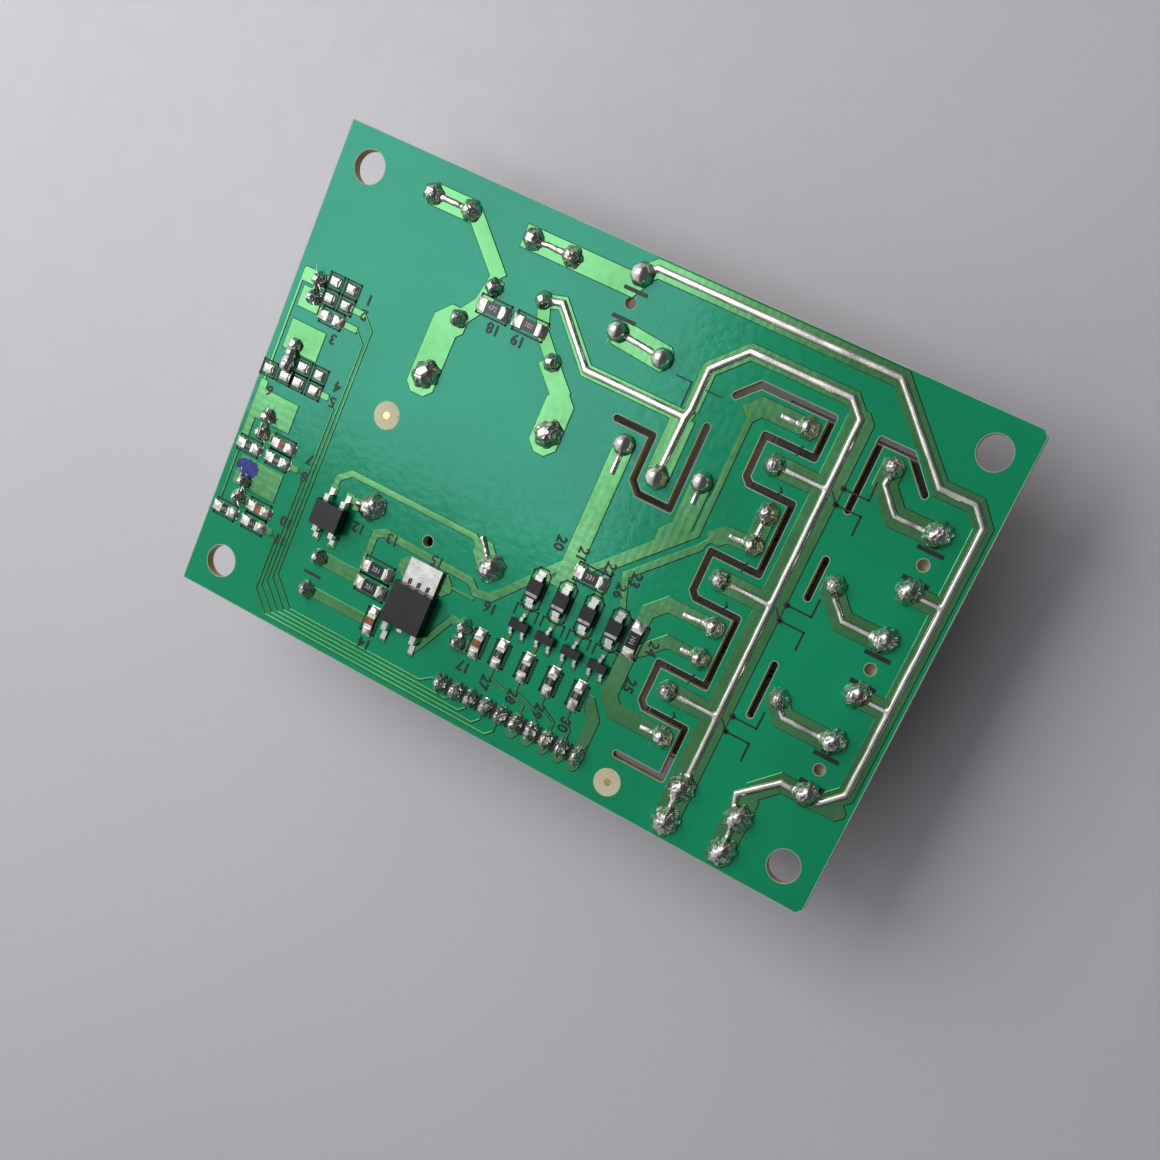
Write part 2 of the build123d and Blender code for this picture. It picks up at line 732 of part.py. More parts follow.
fiducials = [shifted(primary_a, -3.0, -7.4), (relay_common_x - 2.3, from_bottom(3.5))]


def fiducial_dots():
    return [upright(Pos(*spot) * ring(fiducial_dot / 2), 0, copper_height) for spot in fiducials]


# ======================================================================= solder
def short_strip(pin, dx, dy):
    return bead([pin, shifted(pin, dx, dy)], strip_width, strip_height)


def pin_ways(spots, side):
    """Square passages that the pins fill in their solder."""
    return square_pins(spots, side, board_bottom, solder_ceiling)


def wire_ways(spots):
    return [round_wire(spot, board_bottom, solder_ceiling) for spot in spots]


def neutral_solder():
    pieces = [bead(neutral_run), bead(neutral_legs, strip_width)]
    for pin in outputs_b[:-1]:
        pieces.append(bead([pin, (neutral_rail_x, pin[1])], strip_width))
    pieces += [cone_joint(pin, power_joint) for pin in outputs_b]
    pieces.append(dome_joint(spare_output_a, (power_joint[0], ball_joint[1])))
    pieces += [star_joint(leg, tab_star) for leg in neutral_legs]
    solder = Part() + pieces - pin_ways(outputs_b, power_pin)
    return solder - pin_ways(neutral_legs, tab_leg)


def line_solder():
    pieces = [bead(line_run), bead([line_run[3], spare_common]), bead(line_legs, strip_width)]
    for pin in commons:
        pieces.append(bead([pin, (line_rail_x, pin[1])], strip_width))
    pieces += [cone_joint(pin, relay_joint) for pin in commons]
    pieces.append(dome_joint(spare_common, (power_joint[0], ball_joint[1])))
    pieces += [star_joint(leg, tab_star) for leg in line_legs]
    pieces.append(cone_joint(varistor_legs[1], lead_joint))
    solder = Part() + pieces - pin_ways(commons, contact_blade)
    solder -= pin_ways(line_legs, tab_leg)
    return solder - wire_ways([varistor_legs[1]])


def round_wire(spot, low, high):
    return upright(Pos(*spot) * drill(round_lead / 2), low, high)


def output_solder():
    joined = []
    for run in output_runs:
        solder = bead(run, strip_width) + cone_joint(run[0], relay_joint)
        solder += cone_joint(run[-1], power_joint)
        solder -= pin_ways([run[0]], contact_blade)
        joined.append(solder - pin_ways([run[-1]], power_pin))
    spare = bead(spare_run, strip_width)
    joined.append(spare + [dome_joint(spot, ball_joint) for spot in spare_run])
    return joined


def coil_solder():
    joined = []
    strips = [(coils_a[0], -4.0, 0), (coils_a[1], -3.4, -0.2), (coils_b[1], -4.6, -0.3),
              (coils_a[2], -2.9, -0.1), (coils_b[2], -3.4, -0.2)]
    for pin, dx, dy in strips:
        solder = short_strip(pin, dx, dy) + cone_joint(pin, relay_joint)
        if pin == coils_a[1]:
            solder += bead([pin, coils_b[0]], strip_width, strip_height)
            solder += cone_joint(coils_b[0], relay_joint)
        joined.append(solder - pin_ways([pin, coils_b[0]], signal_pin))
    for pin, drop in zip(spare_coils, (-4.3, -3.2)):
        joined.append(short_strip(pin, 0, drop) + dome_joint(pin, ball_joint))
    return joined


def fuse_solder():
    joined = []
    for pair in (clip_legs[:2], clip_legs[2:]):
        solder = bead(pair, strip_width) + [cone_joint(pin, clip_joint) for pin in pair]
        joined.append(solder - pin_ways(pair, contact_blade))
    return joined


def transformer_solder():
    """Joints of the four winding pins; two of them run on along their copper."""
    bridge_foot = (bridge_at[0] + bridge_lead_spread, bridge_at[1] + bridge_lead_reach)
    runs = {
        secondary_a: [secondary_a, shifted(bridge_foot, 1.3, 0.2)],
        secondary_b: [secondary_b, shifted(secondary_b, -1.0, 1.7), shifted(secondary_b, -2.8, 3.7)],
    }
    joined = []
    for pin in (primary_a, primary_b, secondary_a, secondary_b):
        solder = cone_joint(pin, transformer_joint)
        if pin in runs:
            solder += bead(runs[pin], strip_width)
        joined.append(solder - pin_ways([pin], power_pin))
    return joined


def header_solder():
    joints = [cone_joint(pin, header_joint, header_stretch) for pin in header_pins]
    return [joint - pin_ways([pin], signal_pin) for joint, pin in zip(joints, header_pins)]


def sensor_solder():
    joints = [cone_joint(pin, signal_joint) - pin_ways([pin], signal_pin) for pin in sensor_pins]
    return joints + [dome_joint(pin, small_ball_joint) for pin in sensor_spare_pins]


def lead_solder():
    """Joints of the round leads of the varistor, the film capacitor and the two cans."""
    groups = {lead_joint: [varistor_legs[0]] + film_legs + large_can_legs,
              (signal_joint[0], lead_joint[1]): small_can_legs}
    joints = []
    for sizes, spots in groups.items():
        joints += [cone_joint(spot, sizes) - wire_ways([spot]) for spot in spots]
    return joints


# ======================================================================= surface parts
def placed(x, y, angle, piece):
    return Pos(x, y, copper_top) * Rot(0, 0, angle) * piece


def chip_body(size):
    length, width, height, _ = size
    return Pos(0, 0, height / 2 + 0.02) * Box(length - 2 * chip_cap, width, height - 0.04)


def chip_caps(size):
    length, width, height, _ = size
    middle = length / 2 - chip_cap / 2
    return [Pos(s * middle, 0, height / 2) * Box(chip_cap, width, height) for s in (-1, 1)]


def chip_fillets(size):
    """Wedges of solder from the end caps down to the lands."""
    length, width, height, reach = size
    wedge = make_face(Polyline((0, 0), (reach, 0), (reach * 0.4, height * 0.45), (0, height * 0.9),
                               close=True))
    solid = Pos(length / 2, 0, 0) * extrude(Plane.XZ * wedge, (width + land_margin / 2) / 2, both=True)
    return [solid, Rot(0, 0, 180) * solid]


def spread(parts, size, maker):
    pieces = []
    for x, y, angle in parts:
        made = maker(size)
        made = made if isinstance(made, list) else [made]
        pieces += [placed(x, y, angle, piece) for piece in made]
    return pieces


def pad_solder():
    pieces = spread(small_resistors + small_capacitors, small_chip, chip_fillets)
    pieces += spread(large_resistors, large_chip, chip_fillets)
    aside, land = chip_land(small_chip)
    bump = extrude(Rectangle(land[0] - 2 * land_lip, land[1] - 2 * land_lip), pad_bump_height, taper=35)
    for x, y in empty_pad_pairs:
        pieces += [placed(x + s * aside, y, 0, bump) for s in (-1, 1)]
    return pieces


def gull_lead(width, reach, drop, root):
    """Flat lead that leaves a body at height drop and root from its middle, and lands at reach."""
    t = lead_thickness
    knee = root + 0.45 * (reach - root)
    path = [(root, drop), (knee, drop), (knee + 0.12, t / 2), (reach, t / 2)]
    return extrude(Plane.XZ * band(path, t), width / 2, both=True)


def moulded_body(size, lift, draft=6):
    """Moulded package: two drafted halves meeting at the lead line."""
    half = (size[2] - lift) / 2
    top = extrude(Rectangle(size[0], size[1]), half, taper=draft)
    return Pos(0, 0, lift + half) * (top + mirror(top, Plane.XY))


def diode(x):
    body = moulded_body(diode_size, 0.12)
    return placed(x, diode_y, 90, body)


def diode_leads():
    drop = (diode_size[2] + 0.12) / 2
    root = diode_size[0] / 2
    lead = gull_lead(1.1, diode_pad_spread + 0.55, drop, root)
    return [placed(x, diode_y, angle, lead) for x in drive_x for angle in (90, 270)]


def transistor(x):
    return placed(x, transistor_y, 0, moulded_body(transistor_size, 0.1))


def transistor_leads():
    drop = (transistor_size[2] + 0.1) / 2
    lead = gull_lead(0.45, 1.75, drop, transistor_size[1] / 2)
    leads = []
    for x in drive_x:
        leads.append(placed(x, transistor_y, 90, lead))
        leads += [placed(x + s * transistor_lead_spread, transistor_y, 270, lead) for s in (-1, 1)]
    return leads


def bridge_rectifier():
    return placed(*bridge_at, 0, moulded_body(bridge_size, 0.1))


def bridge_rectifier_leads():
    drop = (bridge_size[2] + 0.1) / 2
    lead = gull_lead(0.75, bridge_lead_reach + 0.5, drop, bridge_size[1] / 2)
    x, y = bridge_at
    return [
        placed(x + s * bridge_lead_spread, y, angle, lead) for s in (-1, 1) for angle in (90, 270)
    ]


def regulator_body():
    body = moulded_body(regulator_size, 0.0, 4)
    seat = Pos(0, regulator_size[1] / 2 - 2.0, regulator_tab[2] / 2)
    body -= seat * Box(regulator_tab[0] - 0.4, 4.0, regulator_tab[2])
    return placed(*regulator_at, 0, body)


def regulator_tab_and_leads():
    """Soldered heat tab behind the body, two bent legs in front and the cropped middle one."""
    width, depth, thick = regulator_tab
    edge = regulator_size[1] / 2
    tab = Pos(0, edge + depth / 2 - 0.1, thick / 2) * Box(width, depth - 0.2, thick)
    neck = Pos(0, edge - 2.0, thick / 2) * Box(width - 0.4, 4.0, thick)
    drop = (regulator_size[2]) / 2
    lead = gull_lead(0.8, edge + 2.9, drop, edge)
    stub = Pos(0, -edge - 0.3, drop) * Box(0.8, 0.6, lead_thickness)
    x, y = regulator_at
    leads = [placed(x + s * regulator_lead_spread, y, 270, lead) for s in (-1, 1)]
    return [placed(x, y, 0, tab + neck), placed(x, y, 0, stub)] + leads


# ======================================================================= component side
def soften(case, size):
    """Breaks the corners of a moulded case and the rim of its far face."""
    return chamfer(case.edges().filter_by(Axis.Z) + case.edges().group_by(Axis.Z)[0], size)


def relay(y):
    low = board_bottom - relay_height
    x = relay_common_x - relay_overhang + relay_length / 2
    case = block((x, y), (relay_length, relay_width), low, board_bottom)
    return soften(case, relay_edge)


def relay_pins():
    tip = copper_top + relay_joint[1] + pin_proud
    blades = square_pins(commons + contacts, contact_blade, board_bottom, tip)
    return blades + square_pins(coils_a + coils_b, signal_pin, board_bottom, tip)


def output_connector(y):
    """Wafer with an upright locking wall on its board side, two pin wells left open."""
    low = board_bottom - output_base_height
    base = block((output_x, y), (output_depth, output_length), low, board_bottom)
    wall_x = output_x + output_depth / 2 - 0.6
    wall = block((wall_x, y), (1.2, output_length - 1.6), board_bottom - output_wall_height, low)
    key = block((wall_x - 1.0, y), (0.8, 4.0), board_bottom - output_wall_height, low)
    pins = [shifted((output_x, y), 0, s * output_pin_spread) for s in (-1, 1)]
    return base + wall + key - square_pins(pins, power_pin, low - 1, 1)


def output_pins():
    tip = copper_top + power_joint[1] + pin_proud
    low = board_bottom - output_base_height - output_pin_length + 2
    pins = []
    for spot in outputs_a + outputs_b:
        pin = block(spot, (power_pin, power_pin), low, tip)
        pins.append(chamfer(pin.edges().group_by(Axis.Z)[0], 0.25))
    return pins


def blade_tab(legs):
    """Push-on blade: shoulders against the board, two soldered legs, a dimple hole and a nosed end."""
    x, y = legs[0][0], (legs[0][1] + legs[1][1]) / 2
    shoulder = tab_leg_pitch + tab_leg + 1.0
    tip = copper_top + tab_star[1] + pin_proud
    low = board_bottom - tab_length
    nose = 1.4
    outline = Polyline(
        (-shoulder / 2, board_bottom), (-shoulder / 2, board_bottom - 2.2),
        (-tab_width / 2, board_bottom - 3.0), (-tab_width / 2, low + nose),
        (-tab_width / 2 + nose, low), (tab_width / 2 - nose, low), (tab_width / 2, low + nose),
        (tab_width / 2, board_bottom - 3.0), (shoulder / 2, board_bottom - 2.2),
        (shoulder / 2, board_bottom), close=True,
    )
    blade = make_face(outline) - Pos(0, low + 4.0) * ring(0.8)
    for s in (-1, 1):
        leg = Rectangle(tab_leg, tip - board_bottom, align=(Align.CENTER, Align.MIN))
        blade += Pos(s * tab_leg_pitch / 2, board_bottom) * leg
    solid = extrude(Plane.YZ * blade, tab_thickness / 2, both=True)
    return Pos(x, y) * solid


def header_housing():
    length = header_pitch * header_count
    low = board_bottom - header_body
    strip = block((header_middle_x, header_y), (length, header_body), low, board_bottom)
    for i in range(1, header_count):
        x = header_middle_x - length / 2 + header_pitch * i
        for s in (-1, 1):
            notch = Pos(x, header_y + s * header_body / 2) * Rot(0, 0, 45) * Rectangle(0.6, 0.6)
            strip -= upright(notch, low - 1, board_bottom + 1)
    return strip - square_pins(header_pins, signal_pin, low - 1, 1)


def header_pin_row():
    tip = copper_top + signal_joint[1] + pin_proud
    low = board_bottom - header_body - header_pin_length
    return square_pins(header_pins, signal_pin, low, tip)


def sensor_connector(row):
    """Boxed two-way plug base, open at its far end, with a slot in its outer wall."""
    low = board_bottom - sensor_height
    floor = board_bottom - sensor_floor
    shell = block((sensor_x, row), (sensor_depth, sensor_length), low, board_bottom)
    well = (sensor_depth - 2 * sensor_wall, sensor_length - 2 * sensor_wall)
    shell -= block((sensor_x, row), well, low - 1, floor)
    for s in (-1, 1):
        cut = shifted((sensor_x, row), -sensor_depth / 2, s * sensor_pitch / 2)
        shell -= block(cut, (3 * sensor_wall, sensor_slot[0]), low - 1, low + sensor_slot[1])
    return shell - square_pins(sensor_pair(row), signal_pin, low - 1, 1)


def sensor_pin_set():
    tip = copper_top + signal_joint[1] + pin_proud
    return square_pins(sensor_pins, signal_pin, board_bottom - sensor_height + 1.2, tip)


core_low = board_bottom - (bobbin_height + core_stack) / 2
core_high = core_low + core_stack
centre_leg = core_leg * 2
flange_width = core_length - 2 * core_leg - 0.6
flange_middle = core_width / 2 - core_leg - 0.3 - flange_thickness / 2
tube_wall = 0.9


def transformer_core():
    """Stacked E and I laminations: two windows round the middle leg, grooved at each sheet."""
    windows = Sketch()
    window_width = (core_length - 2 * core_leg - centre_leg) / 2
    for s in (-1, 1):
        x = s * (centre_leg + window_width) / 2
        windows += Pos(x, 0) * Rectangle(window_width, core_width - 2 * core_leg)
    outline = Pos(transformer_x, transformer_y) * (Rectangle(core_length, core_width) - windows)
    core = upright(outline, core_low, core_high)
    groove = Pos(transformer_x, transformer_y) * (
        Rectangle(core_length, core_width) - Rectangle(core_length - 0.3, core_width - 0.3)
    )
    sheet = core_stack / lamination_count
    for i in range(1, lamination_count):
        level = core_low + sheet * i
        core -= upright(groove, level - 0.1, level + 0.1)
    return core


def transformer_bobbin():
    """Two flanges on a square tube that slides over the middle leg."""
    tube_x = centre_leg + 2 * tube_wall
    tube_z = core_stack + 2 * tube_wall
    middle = (core_low + core_high) / 2
    spool = Pos(0, 0, middle) * Box(tube_x, 2 * flange_middle, tube_z)
    height = bobbin_height
    for s in (-1, 1):
        flange = Pos(0, s * flange_middle, board_bottom - height / 2)
        spool += flange * Box(flange_width, flange_thickness, height)
        foot = Pos(0, s * flange_middle, board_bottom - 1.6)
        spool += foot * Box(flange_width, flange_thickness + 1.6, 3.2)
    spool -= Pos(0, 0, middle) * Box(centre_leg + 0.2, core_width, core_stack + 0.2)
    for spot in (primary_a, primary_b, secondary_a, secondary_b):
        at = shifted(spot, -transformer_x, -transformer_y)
        spool -= block(at, (power_pin, power_pin), board_bottom - 3.0, 1)
    return Pos(transformer_x, transformer_y) * spool


def transformer_winding():
    """Taped coil that fills the spool between its flanges."""
    tube_x = centre_leg + 2 * tube_wall
    tube_z = core_stack + 2 * tube_wall
    middle = (core_low + core_high) / 2
    length = 2 * flange_middle - flange_thickness - 1.7
    coil = Box(flange_width - 2 * winding_inset, length, bobbin_height - 2 * winding_inset)
    coil = fillet(coil.edges().filter_by(Axis.Y), 2.0)
    coil -= Box(tube_x, length + 1, tube_z)
    return Pos(transformer_x, transformer_y, middle) * coil


def transformer_pins():
    tip = copper_top + transformer_joint[1] + pin_proud
    spots = [primary_a, primary_b, secondary_a, secondary_b]
    return square_pins(spots, power_pin, board_bottom - 3.0, tip)


def fuse_clip(x):
    """Sprung clip: floor on the board, two cheeks that follow the cap, flared lips and two legs."""
    length = clip_leg_pitch + contact_blade
    cheek = Circle(clip_outer) - Circle(fuse_diameter / 2)
    cheek -= Pos(0, -clip_outer) * Rectangle(2 * clip_outer + 2, 2.2)
    foot = Rectangle(2 * clip_outer - 1.4, clip_wall, align=(Align.CENTER, Align.MAX))
    neck = Rectangle(clip_wall, fuse_drop - clip_outer + 0.2, align=(Align.CENTER, Align.MAX))
    profile = Pos(0, fuse_level) * cheek + Pos(0, board_bottom) * foot + Pos(0, board_bottom) * neck
    clip = extrude(Plane.YZ * profile, length / 2, both=True)
    tip = copper_top + clip_joint[1] + pin_proud
    for s in (-1, 1):
        at = (s * clip_leg_pitch / 2, 0)
        clip += block(at, (contact_blade, contact_blade), board_bottom - clip_wall, tip)
    return Pos(x, fuse_y) * clip


def fuse_barrel(length):
    return Rot(0, 90, 0) * Cylinder(fuse_diameter / 2, length)


def fuse_tube():
    glass = fuse_length - 2 * fuse_cap_length
    return Pos(fuse_x, fuse_y, fuse_level) * fuse_barrel(glass)


def fuse_caps():
    middle = (fuse_length - fuse_cap_length) / 2
    caps = []
    for s in (-1, 1):
        caps.append(Pos(fuse_x + s * middle, fuse_y, fuse_level) * fuse_barrel(fuse_cap_length))
    return caps


def varistor():
    """Dipped disc standing on its leads."""
    radius = varistor_diameter / 2
    disc = Rot(90, 0, 0) * Cylinder(radius, varistor_thickness)
    disc = chamfer(disc.edges().filter_by(GeomType.CIRCLE), varistor_edge)
    return Pos(varistor_x, varistor_y, board_bottom - 1.5 - radius) * disc


def film_capacitor():
    low = board_bottom - film_size[2]
    case = block((film_x, film_y), film_size[:2], low, board_bottom)
    return soften(case, film_edge)


def can_capacitor(x, y, size):
    """Aluminium can in its sleeve, rolled in above the seal at the lead end."""
    radius, height = size[0] / 2, size[1]
    outline = Polyline(
        (0, 0), (radius - 0.7, 0), (radius, -0.5), (radius, -1.4), (radius - 0.45, -1.9),
        (radius, -2.4), (radius, -height + 0.4), (radius - 0.4, -height), (0, -height), close=True,
    )
    can = revolve(Plane.XZ * make_face(outline), Axis.Z)
    return Pos(x, y, board_bottom - can_standoff) * can


def radial_leads():
    """Round wires from the varistor, the film capacitor and the two cans up into their joints."""
    tip = copper_top + lead_joint[1] + pin_proud
    leads = [round_wire(pin, board_bottom, tip) for pin in film_legs]
    leads += [round_wire(pin, board_bottom - can_standoff, tip) for pin in large_can_legs + small_can_legs]
    for pin in varistor_legs:
        leads.append(round_wire(pin, board_bottom - 2.6, tip) - varistor())
    return leads


# ======================================================================= export
def main():
    os.makedirs("parts", exist_ok=True)
    save("board", board())
    save("copper_tracks", copper_tracks())
    save("fiducial_dots", fiducial_dots())
    save("neutral_solder", neutral_solder())
    save("line_solder", line_solder())
    save("output_solder", output_solder())
    save("coil_solder", coil_solder())
    save("fuse_solder", fuse_solder())
    save("transformer_solder", transformer_solder())
    save("header_solder", header_solder())
    save("sensor_solder", sensor_solder())
    save("lead_solder", lead_solder())
    save("pad_solder", pad_solder())
    save("chip_resistor_bodies",
         spread(small_resistors, small_chip, chip_body) + spread(large_resistors, large_chip, chip_body))
    save("chip_resistor_caps",
         spread(small_resistors, small_chip, chip_caps) + spread(large_resistors, large_chip, chip_caps))
    save("chip_capacitor_bodies", spread(small_capacitors, small_chip, chip_body))
    save("chip_capacitor_caps", spread(small_capacitors, small_chip, chip_caps))
    for i, x in enumerate(drive_x, 1):
        save(f"diode_{i}", diode(x))
        save(f"transistor_{i}", transistor(x))
    save("diode_leads", diode_leads())
    save("transistor_leads", transistor_leads())
    save("bridge_rectifier", bridge_rectifier())
    save("bridge_rectifier_leads", bridge_rectifier_leads())
    save("regulator_body", regulator_body())
    save("regulator_tab_and_leads", regulator_tab_and_leads())
    for i, y in enumerate(relay_rows, 1):
        save(f"relay_{i}", relay(y))
    save("relay_pins", relay_pins())
    for i, y in enumerate(output_rows, 1):
        save(f"output_connector_{i}", output_connector(y))
    save("output_pins", output_pins())
    save("line_tab", blade_tab(line_legs))
    save("neutral_tab", blade_tab(neutral_legs))
    save("header_housing", header_housing())
    save("header_pins", header_pin_row())
    for i, row in enumerate(sensor_rows, 1):
        save(f"sensor_connector_{i}", sensor_connector(row))
    save("sensor_pins", sensor_pin_set())
    save("transformer_core", transformer_core())
    save("transformer_bobbin", transformer_bobbin())
    save("transformer_winding", transformer_winding())
    save("transformer_pins", transformer_pins())
    save("fuse_clips", [fuse_clip(x) for x in clip_centres])
    save("fuse_tube", fuse_tube())
    save("fuse_caps", fuse_caps())
    save("varistor", varistor())
    save("film_capacitor", film_capacitor())
    save("large_capacitor", can_capacitor(large_can_x, large_can_y, large_can))
    save("small_capacitor", can_capacitor(small_can_x, small_can_y, small_can))
    save("radial_leads", radial_leads())


main()
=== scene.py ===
import math
import random

import bmesh
import bpy
from mathutils import Matrix, Vector, noise
from mathutils.kdtree import KDTree


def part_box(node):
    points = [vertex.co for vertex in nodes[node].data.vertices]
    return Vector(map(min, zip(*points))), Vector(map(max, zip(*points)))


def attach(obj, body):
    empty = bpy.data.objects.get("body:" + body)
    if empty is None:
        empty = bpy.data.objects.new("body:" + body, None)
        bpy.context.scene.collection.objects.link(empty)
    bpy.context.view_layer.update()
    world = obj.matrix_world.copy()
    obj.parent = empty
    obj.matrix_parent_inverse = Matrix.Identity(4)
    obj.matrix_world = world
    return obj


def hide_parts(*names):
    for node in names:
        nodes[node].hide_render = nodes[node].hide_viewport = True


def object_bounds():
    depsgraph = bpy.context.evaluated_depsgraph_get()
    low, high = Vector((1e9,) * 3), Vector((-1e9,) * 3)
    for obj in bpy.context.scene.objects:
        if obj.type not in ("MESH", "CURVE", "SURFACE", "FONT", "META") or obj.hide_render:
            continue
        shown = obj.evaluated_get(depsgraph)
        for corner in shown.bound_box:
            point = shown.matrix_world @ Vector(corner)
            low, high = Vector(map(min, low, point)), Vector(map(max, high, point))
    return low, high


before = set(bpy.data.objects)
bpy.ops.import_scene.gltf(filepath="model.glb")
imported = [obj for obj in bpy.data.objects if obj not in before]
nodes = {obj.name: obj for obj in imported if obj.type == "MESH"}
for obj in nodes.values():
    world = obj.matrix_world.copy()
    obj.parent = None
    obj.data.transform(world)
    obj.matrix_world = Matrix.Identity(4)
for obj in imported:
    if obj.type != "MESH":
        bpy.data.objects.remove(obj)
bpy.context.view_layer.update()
mm = 0.001


# colours are written as sRGB hex and turned to linear here
def fromHex(code):
    values = [int(code[i:i + 2], 16) / 255 for i in (1, 3, 5)]
    linear = [v / 12.92 if v <= 0.04045 else ((v + 0.055) / 1.055) ** 2.4 for v in values]
    return (*linear, 1.0)


# a socket given as an input is linked, anything else becomes that input's value
def addNode(tree, kind, inputs=None, settings=None):
    node = tree.nodes.new(kind)
    for name, value in (settings or {}).items():
        setattr(node, name, value)
    for socket, value in (inputs or {}).items():
        if isinstance(value, bpy.types.NodeSocket):
            tree.links.new(value, node.inputs[socket])
        else:
            node.inputs[socket].default_value = value
    return node


# empty material, its tree and the object's own coordinates
def newMaterial(name):
    material = bpy.data.materials.new(name)
    material.use_nodes = True
    tree = material.node_tree
    tree.nodes.clear()
    return material, tree, addNode(tree, "ShaderNodeTexCoord").outputs["Object"]


def everyMm(size):
    return 1 / (size * mm)  # noise scale whose grain is about this many mm


def bandsEvery(size):
    return math.pi / 10 / (size * mm)  # wave scale whose bands repeat after this many mm


# what every finish shares: two tones that drift, gloss that follows a pattern, reliefs one on another;
# a relief is a pattern, its strength and its depth in mm, and flecks are masks with their colours
def finishMaterial(material, place, look, pattern, reliefs=(), more=None, flecks=()):
    tree = material.node_tree
    drift = addNode(tree, "ShaderNodeTexNoise", {
        "Vector": place, "Scale": everyMm(look["driftMm"]), "Detail": 3.0})
    tone = addNode(tree, "ShaderNodeMapRange", {
        "Value": drift.outputs["Fac"], "From Min": 0.35, "From Max": 0.65})
    color = fromHex(look["low"])
    for mask, tint in ((tone.outputs[0], look["high"]), *flecks):
        color = addNode(tree, "ShaderNodeMix", {"Factor": mask, 6: color, 7: fromHex(tint)},
                        {"data_type": "RGBA"}).outputs[2]
    gloss = addNode(tree, "ShaderNodeMapRange", {
        "Value": pattern, "From Min": 0.3, "From Max": 0.7,
        "To Min": look["smoothest"], "To Max": look["roughest"]})
    skin = {}
    for height, strength, depthMm in reliefs:
        skin = {"Normal": addNode(tree, "ShaderNodeBump", {
            "Height": height, "Strength": strength, "Distance": depthMm * mm, **skin}).outputs[0]}
    shader = addNode(tree, "ShaderNodeBsdfPrincipled", {
        "Base Color": color, "Roughness": gloss.outputs[0], **skin, **(more or {})})
    addNode(tree, "ShaderNodeOutputMaterial", {"Surface": shader.outputs[0]})
    return material


# plain finish: one grain roughens the skin and its gloss
def grainFinish(name, bumpMm=0.02, metallic=0.0, coat=0.0, **look):
    material, tree, place = newMaterial(name)
    grain = addNode(tree, "ShaderNodeTexNoise", {
        "Vector": place, "Scale": everyMm(look["grainMm"]), "Detail": 5.0, "Roughness": 0.6}).outputs["Fac"]
    return finishMaterial(material, place, look, grain, [(grain, look["bump"], bumpMm)], {
        "Metallic": metallic, "Coat Weight": coat})


# solder mask, screened and oven-cured: deep green film with an orange-peel ripple and a wet gloss
def maskFinish():
    look = dict(low="#008F57", high="#009E64", driftMm=26, smoothest=0.11, roughest=0.19)
    material, tree, place = newMaterial("green_solder_mask")
    peel = addNode(tree, "ShaderNodeTexNoise", {
        "Vector": place, "Scale": everyMm(1.1), "Detail": 2.0, "Roughness": 0.45}).outputs["Fac"]
    wave = addNode(tree, "ShaderNodeTexNoise", {
        "Vector": place, "Scale": everyMm(5.5), "Detail": 1.0}).outputs["Fac"]
    return finishMaterial(material, place, look, peel, [(wave, 0.3, 0.12), (peel, 0.4, 0.05)], {
        "Specular Tint": fromHex("#A4F8FF"), "IOR": 1.6})


# copper foil under the same mask: metal seen through green, so it glows towards the light and
# turns dark away from it; the glass cloth under it shows as a faint check, drawn coarse at 1.1 mm
def coatedCopperFinish(name, low, high):
    look = dict(low=low, high=high, driftMm=14, smoothest=0.16, roughest=0.24)
    material, tree, place = newMaterial(name)
    peel = addNode(tree, "ShaderNodeTexNoise", {
        "Vector": place, "Scale": everyMm(1.1), "Detail": 2.0, "Roughness": 0.45}).outputs["Fac"]
    reliefs = [(peel, 0.25, 0.03)]
    for way in ("X", "Y"):
        thread = addNode(tree, "ShaderNodeTexWave", {
            "Vector": place, "Scale": bandsEvery(1.1), "Distortion": 1.5, "Detail": 1.0},
            {"bands_direction": way})
        reliefs.append((thread.outputs["Fac"], 0.12, 0.02))
    return finishMaterial(material, place, look, peel, reliefs, {
        "Metallic": 0.9, "Coat Weight": 0.12, "Coat Roughness": 0.14})


# paper laminate between glass-cloth faces, pressed and milled: tan, matt, darker fibres along the board
def laminateFinish(name, low, high):
    look = dict(low=low, high=high, fibres="#8F7A4C", driftMm=9, smoothest=0.5, roughest=0.7)
    material, tree, place = newMaterial(name)
    along = addNode(tree, "ShaderNodeMapping", {"Vector": place, "Scale": (0.25, 1.0, 1.0)})
    fibre = addNode(tree, "ShaderNodeTexNoise", {
        "Vector": along.outputs[0], "Scale": everyMm(0.5), "Detail": 6.0, "Roughness": 0.7}).outputs["Fac"]
    speck = addNode(tree, "ShaderNodeMapRange", {"Value": fibre, "From Min": 0.58, "From Max": 0.72})
    return finishMaterial(material, place, look, fibre, [(fibre, 0.3, 0.03)],
                          flecks=[(speck.outputs[0], look["fibres"])])


# soft solder, flooded and left to cool: mirror skin with wrinkles where it shrank
def solderFinish(name, low, high, creaseMm, crease, smooth):
    look = dict(low=low, high=high, driftMm=2.5, smoothest=smooth, roughest=smooth + 0.16)
    material, tree, place = newMaterial(name)
    grain = addNode(tree, "ShaderNodeTexNoise", {
        "Vector": place, "Scale": everyMm(0.3), "Detail": 4.0, "Roughness": 0.55}).outputs["Fac"]
    wrinkle = addNode(tree, "ShaderNodeTexNoise", {
        "Vector": place, "Scale": everyMm(creaseMm), "Detail": 2.0, "Roughness": 0.5},
        {"noise_type": "RIDGED_MULTIFRACTAL"}).outputs["Fac"]
    return finishMaterial(material, place, look, grain, [(wrinkle, crease, 0.08), (grain, 0.2, 0.012)], {
        "Metallic": 1.0})


